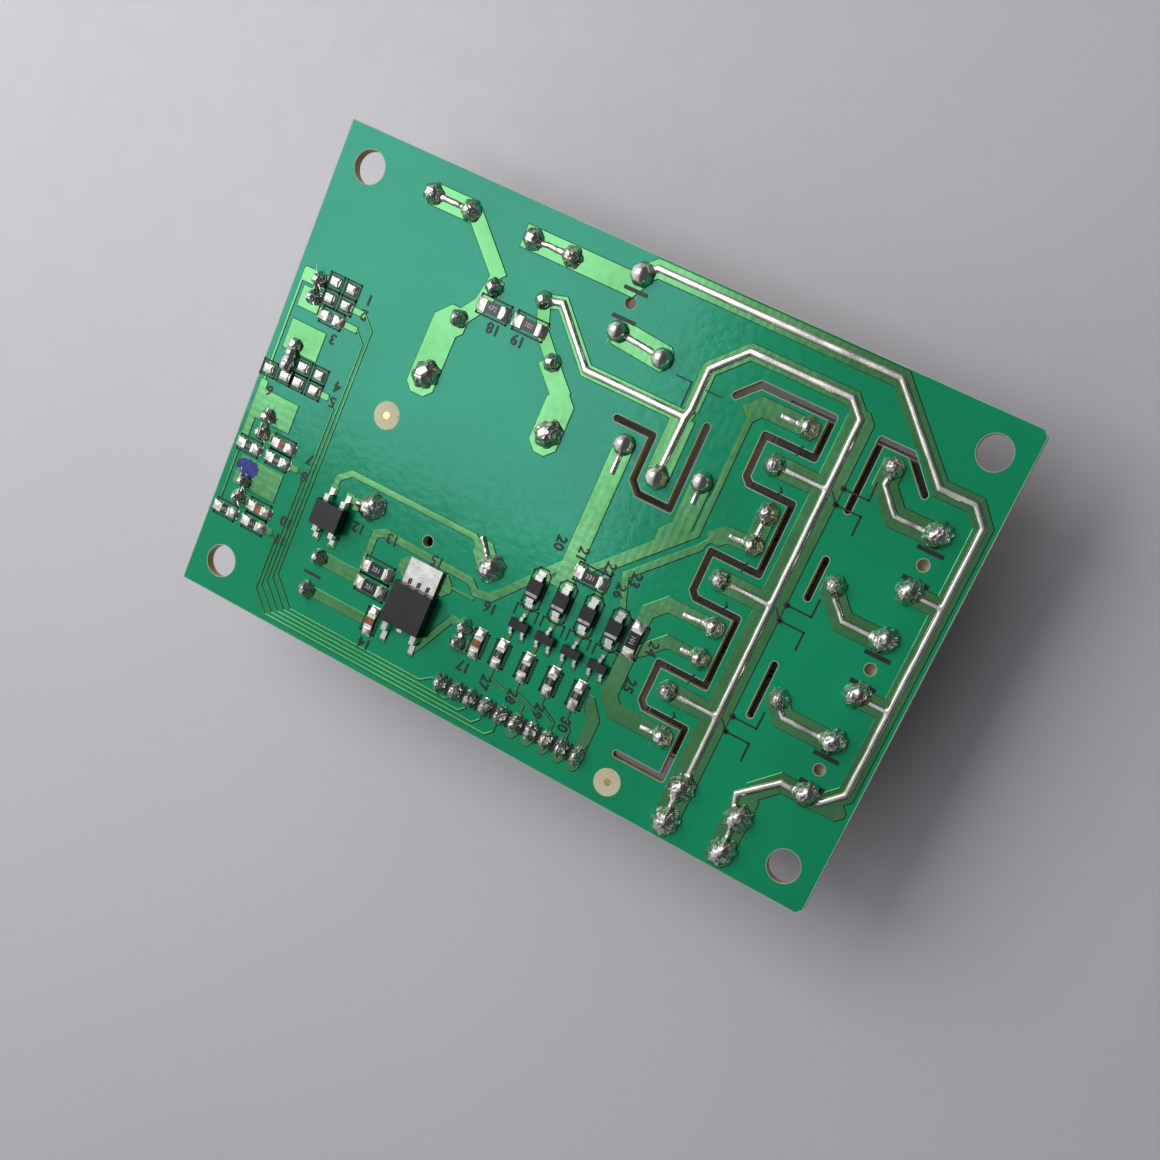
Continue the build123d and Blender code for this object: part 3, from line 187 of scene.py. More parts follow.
# stamped silicon-steel sheets, stacked: dull grey with dark lines between them, drawn 2 mm apart
def laminationFinish():
    look = dict(low="#4A4845", high="#6A6762", lines="#1E1C1A", driftMm=5, smoothest=0.35, roughest=0.55)
    material, tree, place = newMaterial("stacked_core_steel")
    sheets = addNode(tree, "ShaderNodeTexWave", {"Vector": place, "Scale": bandsEvery(2.0)},
                     {"bands_direction": "Z"})
    scale = addNode(tree, "ShaderNodeTexNoise", {
        "Vector": place, "Scale": everyMm(0.7), "Detail": 5.0, "Roughness": 0.65}).outputs["Fac"]
    line = addNode(tree, "ShaderNodeMapRange", {
        "Value": sheets.outputs["Fac"], "From Min": 0.1, "From Max": 0.3, "To Min": 1.0, "To Max": 0.0})
    return finishMaterial(material, place, look, scale, [(scale, 0.35, 0.03)], {"Metallic": 0.85},
                          [(line.outputs[0], look["lines"])])


# polyester tape wound over the coil: yellow film, glossy, its overlaps 10 mm apart
def tapeFinish():
    look = dict(low="#D2A926", high="#E3C147", driftMm=6, smoothest=0.18, roughest=0.32)
    material, tree, place = newMaterial("polyester_tape")
    lap = addNode(tree, "ShaderNodeTexWave", {
        "Vector": place, "Scale": bandsEvery(10), "Distortion": 0.4},
        {"bands_direction": "Y", "wave_profile": "SAW"}).outputs["Fac"]
    crinkle = addNode(tree, "ShaderNodeTexNoise", {
        "Vector": place, "Scale": everyMm(1.6), "Detail": 3.0}).outputs["Fac"]
    return finishMaterial(material, place, look, crinkle, [(lap, 0.5, 0.08), (crinkle, 0.3, 0.06)], {
        "Coat Weight": 0.5})


# drawn glass tube: clear, with slow waves along its wall
def glassFinish():
    look = dict(low="#E9F1EE", high="#F6FAF8", driftMm=6, smoothest=0.01, roughest=0.04)
    material, tree, place = newMaterial("fuse_glass")
    wave = addNode(tree, "ShaderNodeTexNoise", {
        "Vector": place, "Scale": everyMm(3.0), "Detail": 2.0}).outputs["Fac"]
    return finishMaterial(material, place, look, wave, [(wave, 0.1, 0.03)], {
        "Transmission Weight": 0.95, "IOR": 1.5})


finishes = {
    # hot-dipped tin on chip ends and bare pads: soft white metal
    "tin": grainFinish("dipped_tin",
        low="#CFCCC4", high="#E6E3DB", grainMm=0.3, driftMm=2, smoothest=0.16, roughest=0.34, bump=0.35,
        bumpMm=0.04, metallic=1.0),
    # transfer-moulded epoxy: near black, matt, with filler grain
    "moulded_epoxy": grainFinish("moulded_epoxy",
        low="#020203", high="#121213", grainMm=0.16, driftMm=1.6, smoothest=0.32, roughest=0.6, bump=0.5,
        bumpMm=0.03),
    # injection-moulded polyester cover: black with a faint satin
    "relay_case": grainFinish("moulded_relay_polyester",
        low="#0F1012", high="#191A1D", grainMm=0.22, driftMm=9, smoothest=0.28, roughest=0.42, bump=0.22),
    # undyed nylon: milky off-white with a dry gloss
    "natural_nylon": grainFinish("natural_nylon",
        low="#DCD6C4", high="#EAE6D9", grainMm=0.35, driftMm=5, smoothest=0.34, roughest=0.5, bump=0.18),
    # tinned steel and copper wire: grey white, drawn
    "tinned_steel": grainFinish("tinned_lead_wire",
        low="#BEBDB8", high="#D8D7D2", grainMm=0.2, driftMm=1.6, smoothest=0.14, roughest=0.3, bump=0.25,
        metallic=1.0),
    # tinned brass strip, stamped: warmer and a little duller
    "tinned_brass": grainFinish("tinned_brass_strip",
        low="#C2BCAB", high="#DAD5C6", grainMm=0.5, driftMm=4, smoothest=0.22, roughest=0.32, bump=0.1,
        bumpMm=0.006, metallic=1.0),
    # resistor face: black glaze
    "chip_resistor": grainFinish("resistor_glaze",
        low="#09090B", high="#1A1A1E", grainMm=0.15, driftMm=0.8, smoothest=0.16, roughest=0.32, bump=0.25),
    # fired ceramic of the chip capacitors: brown orange, biscuit matt
    "chip_capacitor": grainFinish("capacitor_ceramic",
        low="#7E3F20", high="#B4693C", grainMm=0.12, driftMm=0.8, smoothest=0.3, roughest=0.5, bump=0.25),
    # dyed nylon of the header and the bobbin
    "black_nylon": grainFinish("black_nylon",
        low="#141415", high="#222224", grainMm=0.25, driftMm=5, smoothest=0.36, roughest=0.52, bump=0.22),
    # dipped epoxy of the varistor: blue, glossy, a little lumpy
    "blue_epoxy": grainFinish("dipped_blue_epoxy",
        low="#193B84", high="#2B59A8", grainMm=1.1, driftMm=4, smoothest=0.12, roughest=0.26, bump=0.4,
        bumpMm=0.08, coat=0.4),
    # moulded box of the film capacitor: yellow polyester
    "yellow_case": grainFinish("moulded_yellow_polyester",
        low="#CFA92C", high="#E0BF49", grainMm=0.3, driftMm=6, smoothest=0.3, roughest=0.45, bump=0.2),
    # shrunk sleeve of the cans: black vinyl film with a soft gloss
    "can_sleeve": grainFinish("shrunk_vinyl_sleeve",
        low="#10141C", high="#1B222D", grainMm=0.8, driftMm=6, smoothest=0.16, roughest=0.28, bump=0.25,
        bumpMm=0.03, coat=0.3),
    "solder_mask": maskFinish(),
    "masked_copper": coatedCopperFinish("masked_copper", "#4A8452", "#5C9865"),
    "solder": solderFinish("solder_flooded", "#DDD8CB", "#F6F2E8", 1.6, 0.25, 0.16),
    "core_iron": laminationFinish(),
    "coil_tape": tapeFinish(),
    "fuse_glass": glassFinish(),
}
solderCreased = solderFinish("solder_creased", "#C2BEB3", "#EDEAE1", 0.8, 0.8, 0.14)
solderBall = solderFinish("solder_ball", "#DAD7CE", "#F2EFE8", 2.4, 0.12, 0.08)
# darker tones for the tracks' sloping rims: painted shade along every strip's edge
shadedTrackRim = coatedCopperFinish("masked_copper_rim_painted_shade", "#2F7440", "#3E8850")
bareLaminate = laminateFinish("bare_paper_laminate", "#B79E6C", "#CDB888")
cutRim = laminateFinish("cut_laminate_rim", "#9DBA98", "#BDD2B4")
openMask = laminateFinish("laminate_in_mask_opening", "#D8CDA6", "#E9E0BE")
legendInk = grainFinish("screened_legend_ink",  # epoxy ink: black, thin, slightly broken gloss
    low="#0B120E", high="#15201A", grainMm=0.2, driftMm=1.5, smoothest=0.3, roughest=0.6, bump=0.3)
chipPrint = grainFinish("fired_white_print",  # white glaze print on the black chips
    low="#9C9C9A", high="#CFCFCC", grainMm=0.1, driftMm=0.5, smoothest=0.35, roughest=0.6, bump=0.2,
    bumpMm=0.01)
markerInk = grainFinish("blue_marker_ink",  # felt-pen dab: violet blue, pooled darker
    low="#0E1670", high="#2434A8", grainMm=0.5, driftMm=0.7, smoothest=0.4, roughest=0.6, bump=0.5,
    bumpMm=0.04)
canTin = grainFinish("drawn_aluminium",  # can end seen inside its sleeve: pale satin metal
    low="#C9CACB", high="#DEDFE0", grainMm=0.25, driftMm=3, smoothest=0.26, roughest=0.4, bump=0.2,
    metallic=1.0)
targetGold = grainFinish("camera_target_gold",  # plated target dot: warm and bright
    low="#C9A15A", high="#E2C386", grainMm=0.2, driftMm=0.6, smoothest=0.16, roughest=0.3, bump=0.3,
    metallic=1.0)
for node in nodes.values():
    for holder in node.material_slots:
        key = holder.material.name.split(".")[0] if holder.material else ""
        if key in finishes:
            holder.material = finishes[key]
for holder in nodes["fiducial_dots"].material_slots:
    holder.material = targetGold
print("finishes set on", len(nodes), "nodes")


# a CAD node's mesh is loose triangles, so its copy is merged first
def openCopy(name):
    bm = bmesh.new()
    bm.from_mesh(nodes[name].data)
    bmesh.ops.remove_doubles(bm, verts=bm.verts, dist=0.002 * mm)
    return bm


def meshOf(name, bm):
    mesh = bpy.data.meshes.new(name)
    bm.to_mesh(mesh)
    bm.free()
    return mesh


def addObject(name, data):
    made = bpy.data.objects.new(name, data)
    bpy.context.collection.objects.link(made)
    return made


# an object's mesh after its modifiers; the object goes
def takeMesh(holder):
    graph = bpy.context.evaluated_depsgraph_get()
    mesh = bpy.data.meshes.new_from_object(holder.evaluated_get(graph))
    bpy.data.objects.remove(holder)
    return mesh


def boxMiddle(points):
    return Vector(((min(p.x for p in points) + max(p.x for p in points)) / 2,
                   (min(p.y for p in points) + max(p.y for p in points)) / 2))


# middle of each group of points that lie within reach of the group's first one
def clumps(points, reach):
    groups = []
    for point in points:
        for group in groups:
            if (point - group[0]).length < reach:
                group.append(point)
                break
        else:
            groups.append([point])
    return [boxMiddle(group) for group in groups]


# pin ends: where a node stands over 1 mm above the board
def tipsOf(name):
    return clumps([Vector(v.co.xy) for v in nodes[name].data.vertices if v.co.z > 1.0 * mm], 1.3 * mm)


# box of every separate solid in a node, as low and high corners
def islandsOf(name):
    bm = openCopy(name)
    left, boxes = set(bm.verts), []
    while left:
        stack, group = [left.pop()], []
        while stack:
            vert = stack.pop()
            group.append(vert.co.copy())
            for edge in vert.link_edges:
                other = edge.other_vert(vert)
                if other in left:
                    left.remove(other)
                    stack.append(other)
        boxes.append((Vector(map(min, *group)), Vector(map(max, *group))))
    bm.free()
    return sorted(boxes, key=lambda box: (round(box[0].x / mm, 2), round(box[0].y / mm, 2)))


def near(spot, others, reach):
    return any((spot - other).length < reach * mm for other in others)


pinNodes = ("relay_pins", "output_pins", "header_pins", "sensor_pins", "transformer_pins", "radial_leads",
            "fuse_clips", "line_tab", "neutral_tab")
pins = {name: tipsOf(name) for name in pinNodes}
allPins = [spot for spots in pins.values() for spot in spots]
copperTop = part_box("copper_tracks")[1].z
boardLow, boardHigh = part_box("board")
relays = ["relay_1", "relay_2", "relay_3"]
print("frame read:", len(allPins), "soldered pins")


# shape is a bmesh or a melted mesh; its finish is the slot's own unless others are given
def makePiece(name, shape, slot, *replaced, materials=None, smooth=False):
    mesh = meshOf(name, shape) if isinstance(shape, bmesh.types.BMesh) else shape
    mesh.name = name
    for material in materials or [finishes[slot]]:
        mesh.materials.append(material)
    mesh.polygons.foreach_set("use_smooth", [smooth] * len(mesh.polygons))
    piece = addObject(name, mesh)
    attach(piece, "root")
    if replaced:
        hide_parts(*replaced)


# melts overlapping shells into one skin and rounds its edges
def fuseMesh(bm, voxel, rounds):
    holder = addObject("melt", meshOf("melt", bm))
    melt = holder.modifiers.new("melt", "REMESH")
    melt.mode, melt.voxel_size = "VOXEL", voxel * mm
    soften = holder.modifiers.new("soften", "SMOOTH")
    soften.factor, soften.iterations = 0.5, rounds
    return takeMesh(holder)


# cooled skin round a pin, in mm; within creased it has the wrinkled finish too
crumple = dict(reach=1.8, grain=0.75, depth=0.16, lift=0.03, creased=1.75)


# pushes each point along its normal by smooth noise, and crumples the skin round the given places
def roughen(mesh, grain, depth, seed, crumpled=()):
    shift = Vector((seed * 7.3, seed * 3.1, seed * 5.7))
    normals = [item.vector.copy() for item in mesh.vertex_normals]
    tree = KDTree(max(len(crumpled), 1))
    for index, spot in enumerate(crumpled):
        tree.insert(spot.to_3d(), index)
    tree.balance()
    points = []
    for vert, normal in zip(mesh.vertices, normals):
        push = depth * noise.noise(vert.co / (grain * mm) + shift)
        if crumpled and tree.find((vert.co.x, vert.co.y, 0))[2] < crumple["reach"] * mm:
            fold = abs(noise.noise(vert.co / (crumple["grain"] * mm) + shift))
            push -= crumple["depth"] * fold - crumple["lift"]
        points.extend(vert.co + normal * push * mm)
    mesh.vertices.foreach_set("co", points)


# closed form turned about an axis; profile gives radius and height in mm
def spinProfile(bm, at, profile, steps, axis=(0, 0, 1)):
    axis = Vector(axis)
    side = Vector((1, 0, 0))
    verts = [bm.verts.new(at + side * radius * mm + axis * high * mm) for radius, high in profile]
    edges = [bm.edges.new(pair) for pair in zip(verts, verts[1:])]
    bmesh.ops.spin(bm, geom=verts + edges, cent=at, axis=axis, angle=2 * math.pi, steps=steps,
                   use_merge=True)


def joinForm(target, source):
    mesh = meshOf("part", source)
    target.from_mesh(mesh)
    bpy.data.meshes.remove(mesh)


def closeUp(bm):
    bmesh.ops.remove_doubles(bm, verts=bm.verts, dist=0.001 * mm)
    bmesh.ops.recalc_face_normals(bm, faces=bm.faces)


def addBlock(bm, low, high, turn=0.0):
    # box from corner to corner, turned about its own middle
    size, middle = high - low, (low + high) / 2
    verts = bmesh.ops.create_cube(bm, size=1)["verts"]
    bmesh.ops.scale(bm, verts=verts, vec=size)
    bmesh.ops.rotate(bm, verts=verts, cent=(0, 0, 0), matrix=Matrix.Rotation(turn, 3, "Z"))
    bmesh.ops.translate(bm, verts=verts, vec=middle)


# upright disc, its radius and thickness in mm
def addDisc(bm, at, radius, thick, segments):
    made = bmesh.ops.create_cone(bm, cap_ends=True, segments=segments, radius1=radius * mm,
                                 radius2=radius * mm, depth=thick * mm)
    bmesh.ops.translate(bm, verts=made["verts"], vec=at)


# cooled cone round a pin, its radius and height as shares of the joint's own
coneProfile = ((0, -0.02), (1, 0), (0.97, 0.1), (0.85, 0.3), (0.71, 0.54), (0.55, 0.77), (0.37, 0.94),
               (0.2, 1.0), (0, 1.02))
tabJoint = dict(radius=1.9, lobes=8, depth=0.12)
joints = {
    # radius in mm, lobes round the pin, their depth, and stretch across the board
    "relay_pins": dict(radius=1.55, lobes=7, depth=0.08),
    "output_pins": dict(radius=1.7, lobes=9, depth=0.08),
    "header_pins": dict(radius=1.0, lobes=5, depth=0.1, stretch=1.45),
    "sensor_pins": dict(radius=1.15, lobes=5, depth=0.14),
    "transformer_pins": dict(radius=1.85, lobes=6, depth=0.08),
    "radial_leads": dict(radius=1.3, lobes=4, depth=0.1),
    "fuse_clips": dict(radius=1.55, lobes=6, depth=0.08),
    "line_tab": tabJoint,
    "neutral_tab": tabJoint,
}


# cone of solder that closes over the pin's end
def coneJoint(at, size, top, chance):
    bm = bmesh.new()
    tall = (top - copperTop) / mm + 0.05
    profile = [(r * size["radius"], copperTop / mm + h * tall) for r, h in coneProfile]
    spinProfile(bm, at.to_3d(), profile, 36)
    closeUp(bm)
    turn = chance.uniform(0, 6)
    for vert in bm.verts:  # lobes, and a weaker second set that keeps them uneven
        away = Vector(vert.co.xy) - at
        angle = math.atan2(away.y, away.x)
        lobe = 1 + size["depth"] * math.cos(size["lobes"] * angle + turn)
        lobe += 0.25 * size["depth"] * math.cos((size["lobes"] + 2) * angle - turn)
        vert.co.x = at.x + away.x * lobe
        vert.co.y = at.y + away.y * lobe * size.get("stretch", 1.0)
    return bm


ballLook = dict(radius=0.76, height=1.02, neck=0.12)  # shares of the CAD ball's height; neck in mm


# round drop on a short neck, its foot sunk into the strip it sits on
def ballJoint(at, radius, height):
    bm = bmesh.new()
    middle = copperTop / mm + height - radius
    profile = [(0, 0)]
    for step in range(-10, 11):
        angle = math.radians(step * 9)
        if middle + radius * math.sin(angle) > 0:
            profile.append((radius * math.cos(angle) if step < 10 else 0, middle + radius * math.sin(angle)))
    profile.insert(1, (profile[1][0] + ballLook["neck"], 0))
    spinProfile(bm, at.to_3d(), profile, 40)
    closeUp(bm)
    return bm


spikeLook = dict(foot=0.6, tip=0.05, sway=15)  # foot's height and tip's radius in mm, sway in degrees


# drawn-out point that solder leaves as it lets go
def spike(bm, at, lean, length, radius):
    made = bmesh.ops.create_cone(bm, cap_ends=True, segments=8, radius1=radius * mm,
                                 radius2=spikeLook["tip"] * mm, depth=length * mm)
    turn = Vector((0, 0, 1)).rotation_difference(lean.normalized()).to_matrix()
    bmesh.ops.rotate(bm, verts=made["verts"], cent=(0, 0, 0), matrix=turn)
    middle = Vector((at.x, at.y, spikeLook["foot"] * mm)) + lean.normalized() * length * mm / 2
    bmesh.ops.translate(bm, verts=made["verts"], vec=middle)


# peaks of a solder node that no pin comes through, each with its height over the copper in mm
def balls(name):
    look = dict(level=1.1, pinGap=1.7, apart=3.4, reach=1.4)
    points = [v.co for v in nodes[name].data.vertices]
    high = [Vector(p.xy) for p in points if p.z > look["level"] * mm]
    high = [spot for spot in high if not near(spot, allPins, look["pinGap"])]
    for spot in clumps(high, look["apart"] * mm):
        peak = max(p.z for p in points if (Vector(p.xy) - spot).length < look["reach"] * mm)
        yield spot, (peak - copperTop) / mm


# voxel in mm, smoothing rounds, grain and depth of the cooled skin in mm, and its finish if creased
floodedRun = dict(voxel=0.12, rounds=8, grain=3.5, depth=0.07)
solderStrip = dict(voxel=0.11, rounds=6, grain=1.4, depth=0.09)
solderNodes = {
    "neutral_solder": floodedRun,
    "line_solder": floodedRun,
    "output_solder": solderStrip,
    "coil_solder": solderStrip,
    "fuse_solder": dict(voxel=0.11, rounds=5, grain=0.9, depth=0.12, skin=solderCreased),
    "transformer_solder": dict(voxel=0.11, rounds=5, grain=0.9, depth=0.14, skin=solderCreased),
    "header_solder": dict(voxel=0.09, rounds=3, grain=0.5, depth=0.16, skin=solderCreased),
    "sensor_solder": dict(voxel=0.09, rounds=3, grain=0.6, depth=0.16),
    "lead_solder": dict(voxel=0.1, rounds=4, grain=0.8, depth=0.16, skin=solderCreased),
}
leans = {
    # spikes of each kind of joint: heading in degrees, rise, start off the pin, length and radius in mm
    "header_pins": ((85, 0.7, 0.8, 1.6, 0.28),),
    "sensor_pins": ((100, 0.25, 0.0, 2.1, 0.3), (-35, 0.25, 0.0, 2.1, 0.3)),
    "transformer_pins": ((150, 0.6, 0.6, 1.4, 0.22),),
}


def solderAt(name, spot):
    return any((Vector(v.co.xy) - spot).length < 1.2 * mm for v in nodes[name].data.vertices)


def addSpikes(bm, pinNode, spot, chance):
    for heading, rise, start, length, radius in leans.get(pinNode, ()):
        if pinNode == "header_pins" and spot.x < 0:
            continue  # only the far end of the row was drawn out
        way = math.radians(heading + chance.uniform(-spikeLook["sway"], spikeLook["sway"]))
        out = Vector((math.cos(way), math.sin(way)))
        spike(bm, spot + out * start * mm, Vector((*out, rise)), length, radius)


def solderPiece(name, settings, seed):
    chance = random.Random(seed)
    bm = openCopy(name)
    low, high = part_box(name)
    for pinNode, spots in pins.items():
        for spot in spots:
            inside = low.x < spot.x < high.x and low.y < spot.y < high.y
            if inside and solderAt(name, spot):
                joinForm(bm, coneJoint(spot, joints[pinNode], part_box(pinNode)[1].z, chance))
                addSpikes(bm, pinNode, spot, chance)
    fused = fuseMesh(bm, settings["voxel"], settings["rounds"])
    roughen(fused, settings["grain"], settings["depth"], seed, allPins)
    whole = bmesh.new()
    whole.from_mesh(fused)
    for face in whole.faces:
        if near(Vector(face.calc_center_median().xy), allPins, crumple["creased"]):
            face.material_index = 1
    old = len(whole.faces)
    for spot, tall in balls(name):
        joinForm(whole, ballJoint(spot, tall * ballLook["radius"], tall * ballLook["height"]))
    whole.faces.ensure_lookup_table()
    for index in range(old, len(whole.faces)):
        whole.faces[index].material_index = 2
    makePiece(name.replace("_solder", "_joints"), whole, "solder", name, smooth=True,
              materials=[settings.get("skin", finishes["solder"]), solderCreased, solderBall])


for seed, (name, settings) in enumerate(solderNodes.items()):
    solderPiece(name, settings, seed + 1)
print("solder joints and flooded runs done")

padLook = dict(voxel=0.07, rounds=3, grain=0.7, depth=0.05, crown=0.2)


# surface tension draws each pad's solder up to a low crown
def crownPads(mesh):
    for low, high in islandsOf("pad_solder"):
        middle, half = (low + high) / 2, (high - low) / 2
        for vert in mesh.vertices:
            across = (vert.co.x - middle.x) / half.x
            along = (vert.co.y - middle.y) / half.y
            if abs(across) < 1 and abs(along) < 1 and vert.co.z > copperTop:
                vert.co.z += padLook["crown"] * mm * (1 - across ** 2) * (1 - along ** 2)


padMesh = fuseMesh(openCopy("pad_solder"), padLook["voxel"], padLook["rounds"])
crownPads(padMesh)
roughen(padMesh, padLook["grain"], padLook["depth"], 31)
makePiece("pad_fillets", padMesh, "solder", "pad_solder", smooth=True)
print("pad solder done")


boardLook = dict(rim=0.1, trackRim=0.12, trackFoot=0.012)  # in mm


# copy of a flat node, its upper faces, and the rim cut round them
def rimmedCopy(name, level, rim):
    bm = openCopy(name)
    bmesh.ops.recalc_face_normals(bm, faces=bm.faces)
    top = [f for f in bm.faces if f.normal.z > 0.9 and f.calc_center_median().z > level]
    ring = bmesh.ops.inset_region(bm, faces=top, thickness=rim * mm, use_boundary=True,
                                  use_even_offset=True)["faces"]
    return bm, top, ring


# the mask stops a little short of every cut, so a pale rim runs round holes, slots and edges
def coatedBoard():
    bm, top, ring = rimmedCopy("board", boardHigh.z - 0.1 * mm, boardLook["rim"])
    for faces, index in ((bm.faces, 2), (top, 0), (ring, 1)):
        for face in faces:
            face.material_index = index
    makePiece("coated_board", bm, "solder_mask", "board",
              materials=[finishes["solder_mask"], cutRim, bareLaminate])


# the mask drapes over each strip, so its rim slopes down to the board; the rim has a darker green, painted
# shade along each strip's edge
def coatedTracks():
    bm, top, ring = rimmedCopy("copper_tracks", 0.5 * copperTop, boardLook["trackRim"])
    inner = {v for f in top for v in f.verts}
    for face in ring:
        face.material_index = 1
        for vert in face.verts:
            if vert not in inner:
                vert.co.z = boardLook["trackFoot"] * mm
    makePiece("coated_tracks", bm, "masked_copper", "copper_tracks",
              materials=[finishes["masked_copper"], shadedTrackRim])


coatedBoard()
coatedTracks()
print("board and tracks coated")


printTop = copperTop / mm + 0.016  # in mm: ink lies over coated tracks too
legendBm = bmesh.new()


# one straight ink line between two places, in mm
def inkLine(start, end, width, bm=legendBm, level=0.0, thick=printTop):
    a, b = Vector(start), Vector(end)
    middle, run = (a + b) / 2, b - a
    half = Vector(((run.length + width) / 2, width / 2, thick / 2)) * mm
    at = Vector((middle.x, middle.y, level + thick / 2)) * mm
    addBlock(bm, at - half, at + half, math.atan2(run.y, run.x))


def inkPath(points, width, closed=False, **more):
    for start, end in zip(points, points[1:] + points[:1] if closed else points[1:]):
        inkLine(start, end, width, **more)


def inkFrame(low, high, width, cut=0.0, **more):
    # rectangle whose corners are cut off where cut is given
    (x0, y0), (x1, y1) = low, high
    if cut:
        points = [(x0 + cut, y0), (x1 - cut, y0), (x1, y0 + cut), (x1, y1 - cut), (x1 - cut, y1),
                  (x0 + cut, y1), (x0, y1 - cut), (x0, y0 + cut)]
    else:
        points = [(x0, y0), (x1, y0), (x1, y1), (x0, y1)]
    inkPath(points, width, closed=True, **more)


# digits turned to a mesh and laid flat; the row is in mm with its heading in degrees
def addDigits(bm, digits, at, height, heading, level, thick=printTop):
    curve = bpy.data.curves.new("digits", "FONT")
    curve.body, curve.size = digits, height * 1.37 * mm  # a digit is 1 / 1.37 of the font's size
    curve.align_x, curve.align_y = "CENTER", "CENTER"
    curve.extrude, curve.resolution_u = thick / 2 * mm, 2
    curve.offset = 0.03 * height * mm  # bolder strokes
    flat = takeMesh(addObject("digits", curve))
    bpy.data.curves.remove(curve)
    place = Matrix.Translation(Vector((at[0], at[1], level + thick / 2)) * mm)
    flat.transform(place @ Matrix.Rotation(math.radians(heading), 4, "Z"))
    form = bmesh.new()
    form.from_mesh(flat)
    bpy.data.meshes.remove(flat)
    bmesh.ops.remove_doubles(form, verts=form.verts, dist=0.0005 * mm)
    joinForm(bm, form)


def inMm(box):
    low, high = box
    return Vector(low.xy) / mm, Vector(high.xy) / mm


# box of each chip with the metal ends whose middles lie within 1.6 mm of its own, in mm
def wholeChips(kind):
    ends = [inMm(box) for box in islandsOf(kind + "_caps")]
    whole = []
    for low, high in [inMm(box) for box in islandsOf(kind + "_bodies")]:
        parts = [end for end in ends if ((end[0] + end[1] - low - high) / 2).length < 1.6] + [(low, high)]
        whole.append((Vector(map(min, *[p[0] for p in parts])), Vector(map(max, *[p[1] for p in parts]))))
    return whole


resistorChips = wholeChips("chip_resistor")
chips = resistorChips + wholeChips("chip_capacitor")
chipFrame = dict(along=0.8, across=0.52, line=0.26)


def frameChips():
    for low, high in chips:
        reach = Vector((chipFrame["across"], chipFrame["across"]))
        size = high - low
        reach[0 if size.x > size.y else 1] = chipFrame["along"]
        inkFrame(low - reach, high + reach, chipFrame["line"])


# lands that were left without a part: boxed in pairs, with a dash between the two
def frameEmptyLands():
    look = dict(edge=0.3, dash=0.55, dashLine=0.35, apart=2.6, taken=1.9)
    left = boardLow.x / mm + 14  # the sensor rows lie left of this
    lands = [inMm(box) for box in islandsOf("pad_solder")]
    middles = [(low + high) / 2 for low, high in lands]
    taken = [(low + high) / 2 for low, high in chips]
    bare = [i for i, spot in enumerate(middles)
            if spot.x < left and not any((spot - other).length < look["taken"] for other in taken)]
    edge, dash = Vector((look["edge"], look["edge"])), Vector((0, look["dash"]))
    for i in bare:
        low, high = lands[i]
        inkFrame(low - edge, high + edge, chipFrame["line"])
    for i in bare:
        for j in bare:
            step = middles[j] - middles[i]
            if 0 < step.x < look["apart"] and abs(step.y) < 0.3:  # same row
                spot = (middles[i] + middles[j]) / 2
                inkLine(spot - dash, spot + dash, look["dashLine"])


# frame with cut corners round each diode, and two corner marks over each small transistor
def frameDiodes():
    look = dict(across=0.25, along=1.75, line=0.22, cut=0.7)
    corner = dict(inner=1.0, outer=1.7, top=2.0, foot=0.5, line=0.2)
    reach = Vector((look["across"], look["along"]))
    for i in range(1, 5):
        low, high = inMm(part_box(f"diode_{i}"))
        inkFrame(low - reach, high + reach, look["line"], cut=look["cut"])
        low, high = inMm(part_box(f"transistor_{i}"))
        for side in (-1, 1):
            inner, outer = ((low.x + high.x) / 2 + side * corner[key] for key in ("inner", "outer"))
            inkPath([(inner, high.y + corner["top"]), (outer, high.y + corner["top"]),
                     (outer, high.y + corner["foot"])], corner["line"])


# dash between every two pins of the header
def markHeader():
    dash = dict(reach=1.1, line=0.38)
    spots = sorted(pins["header_pins"], key=lambda spot: spot.x)
    for a, b in zip(spots, spots[1:]):
        mid = (a + b) / 2 / mm
        inkLine((mid.x, mid.y - dash["reach"]), (mid.x, mid.y + dash["reach"]), dash["line"])


# contact sign beside each relay: two dots on the long rail with a stub each, and the coil's curls
def markRelays():
    sign = dict(rail=32.3, reach=3.6, stubs=((1.0, 3.5), (-1.25, -3.8)), lever=(31.2, 0.05), dot=0.42,
                line=0.22)
    curl = dict(x=24.75, sway=0.35, start=2.3, step=0.45, line=0.18)
    rail, end = sign["rail"], sign["rail"] + sign["reach"]
    for name in relays:
        low, high = inMm(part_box(name))
        row = (low.y + high.y) / 2
        for start, far in sign["stubs"]:
            addDisc(legendBm, Vector((rail, row + start, printTop / 2)) * mm, sign["dot"], printTop, 16)
        for start, far in sign["stubs"]:
            inkPath([(rail, row + start), (end, row + start), (end, row + far)], sign["line"])
        inkLine((sign["lever"][0], row + sign["lever"][1]), (rail, row + sign["stubs"][1][0]), sign["line"])
        for side in (-1, 1):
            inkPath([(curl["x"] + curl["sway"] * (k % 2), row + side * (curl["start"] + curl["step"] * k))
                     for k in range(4)], curl["line"])


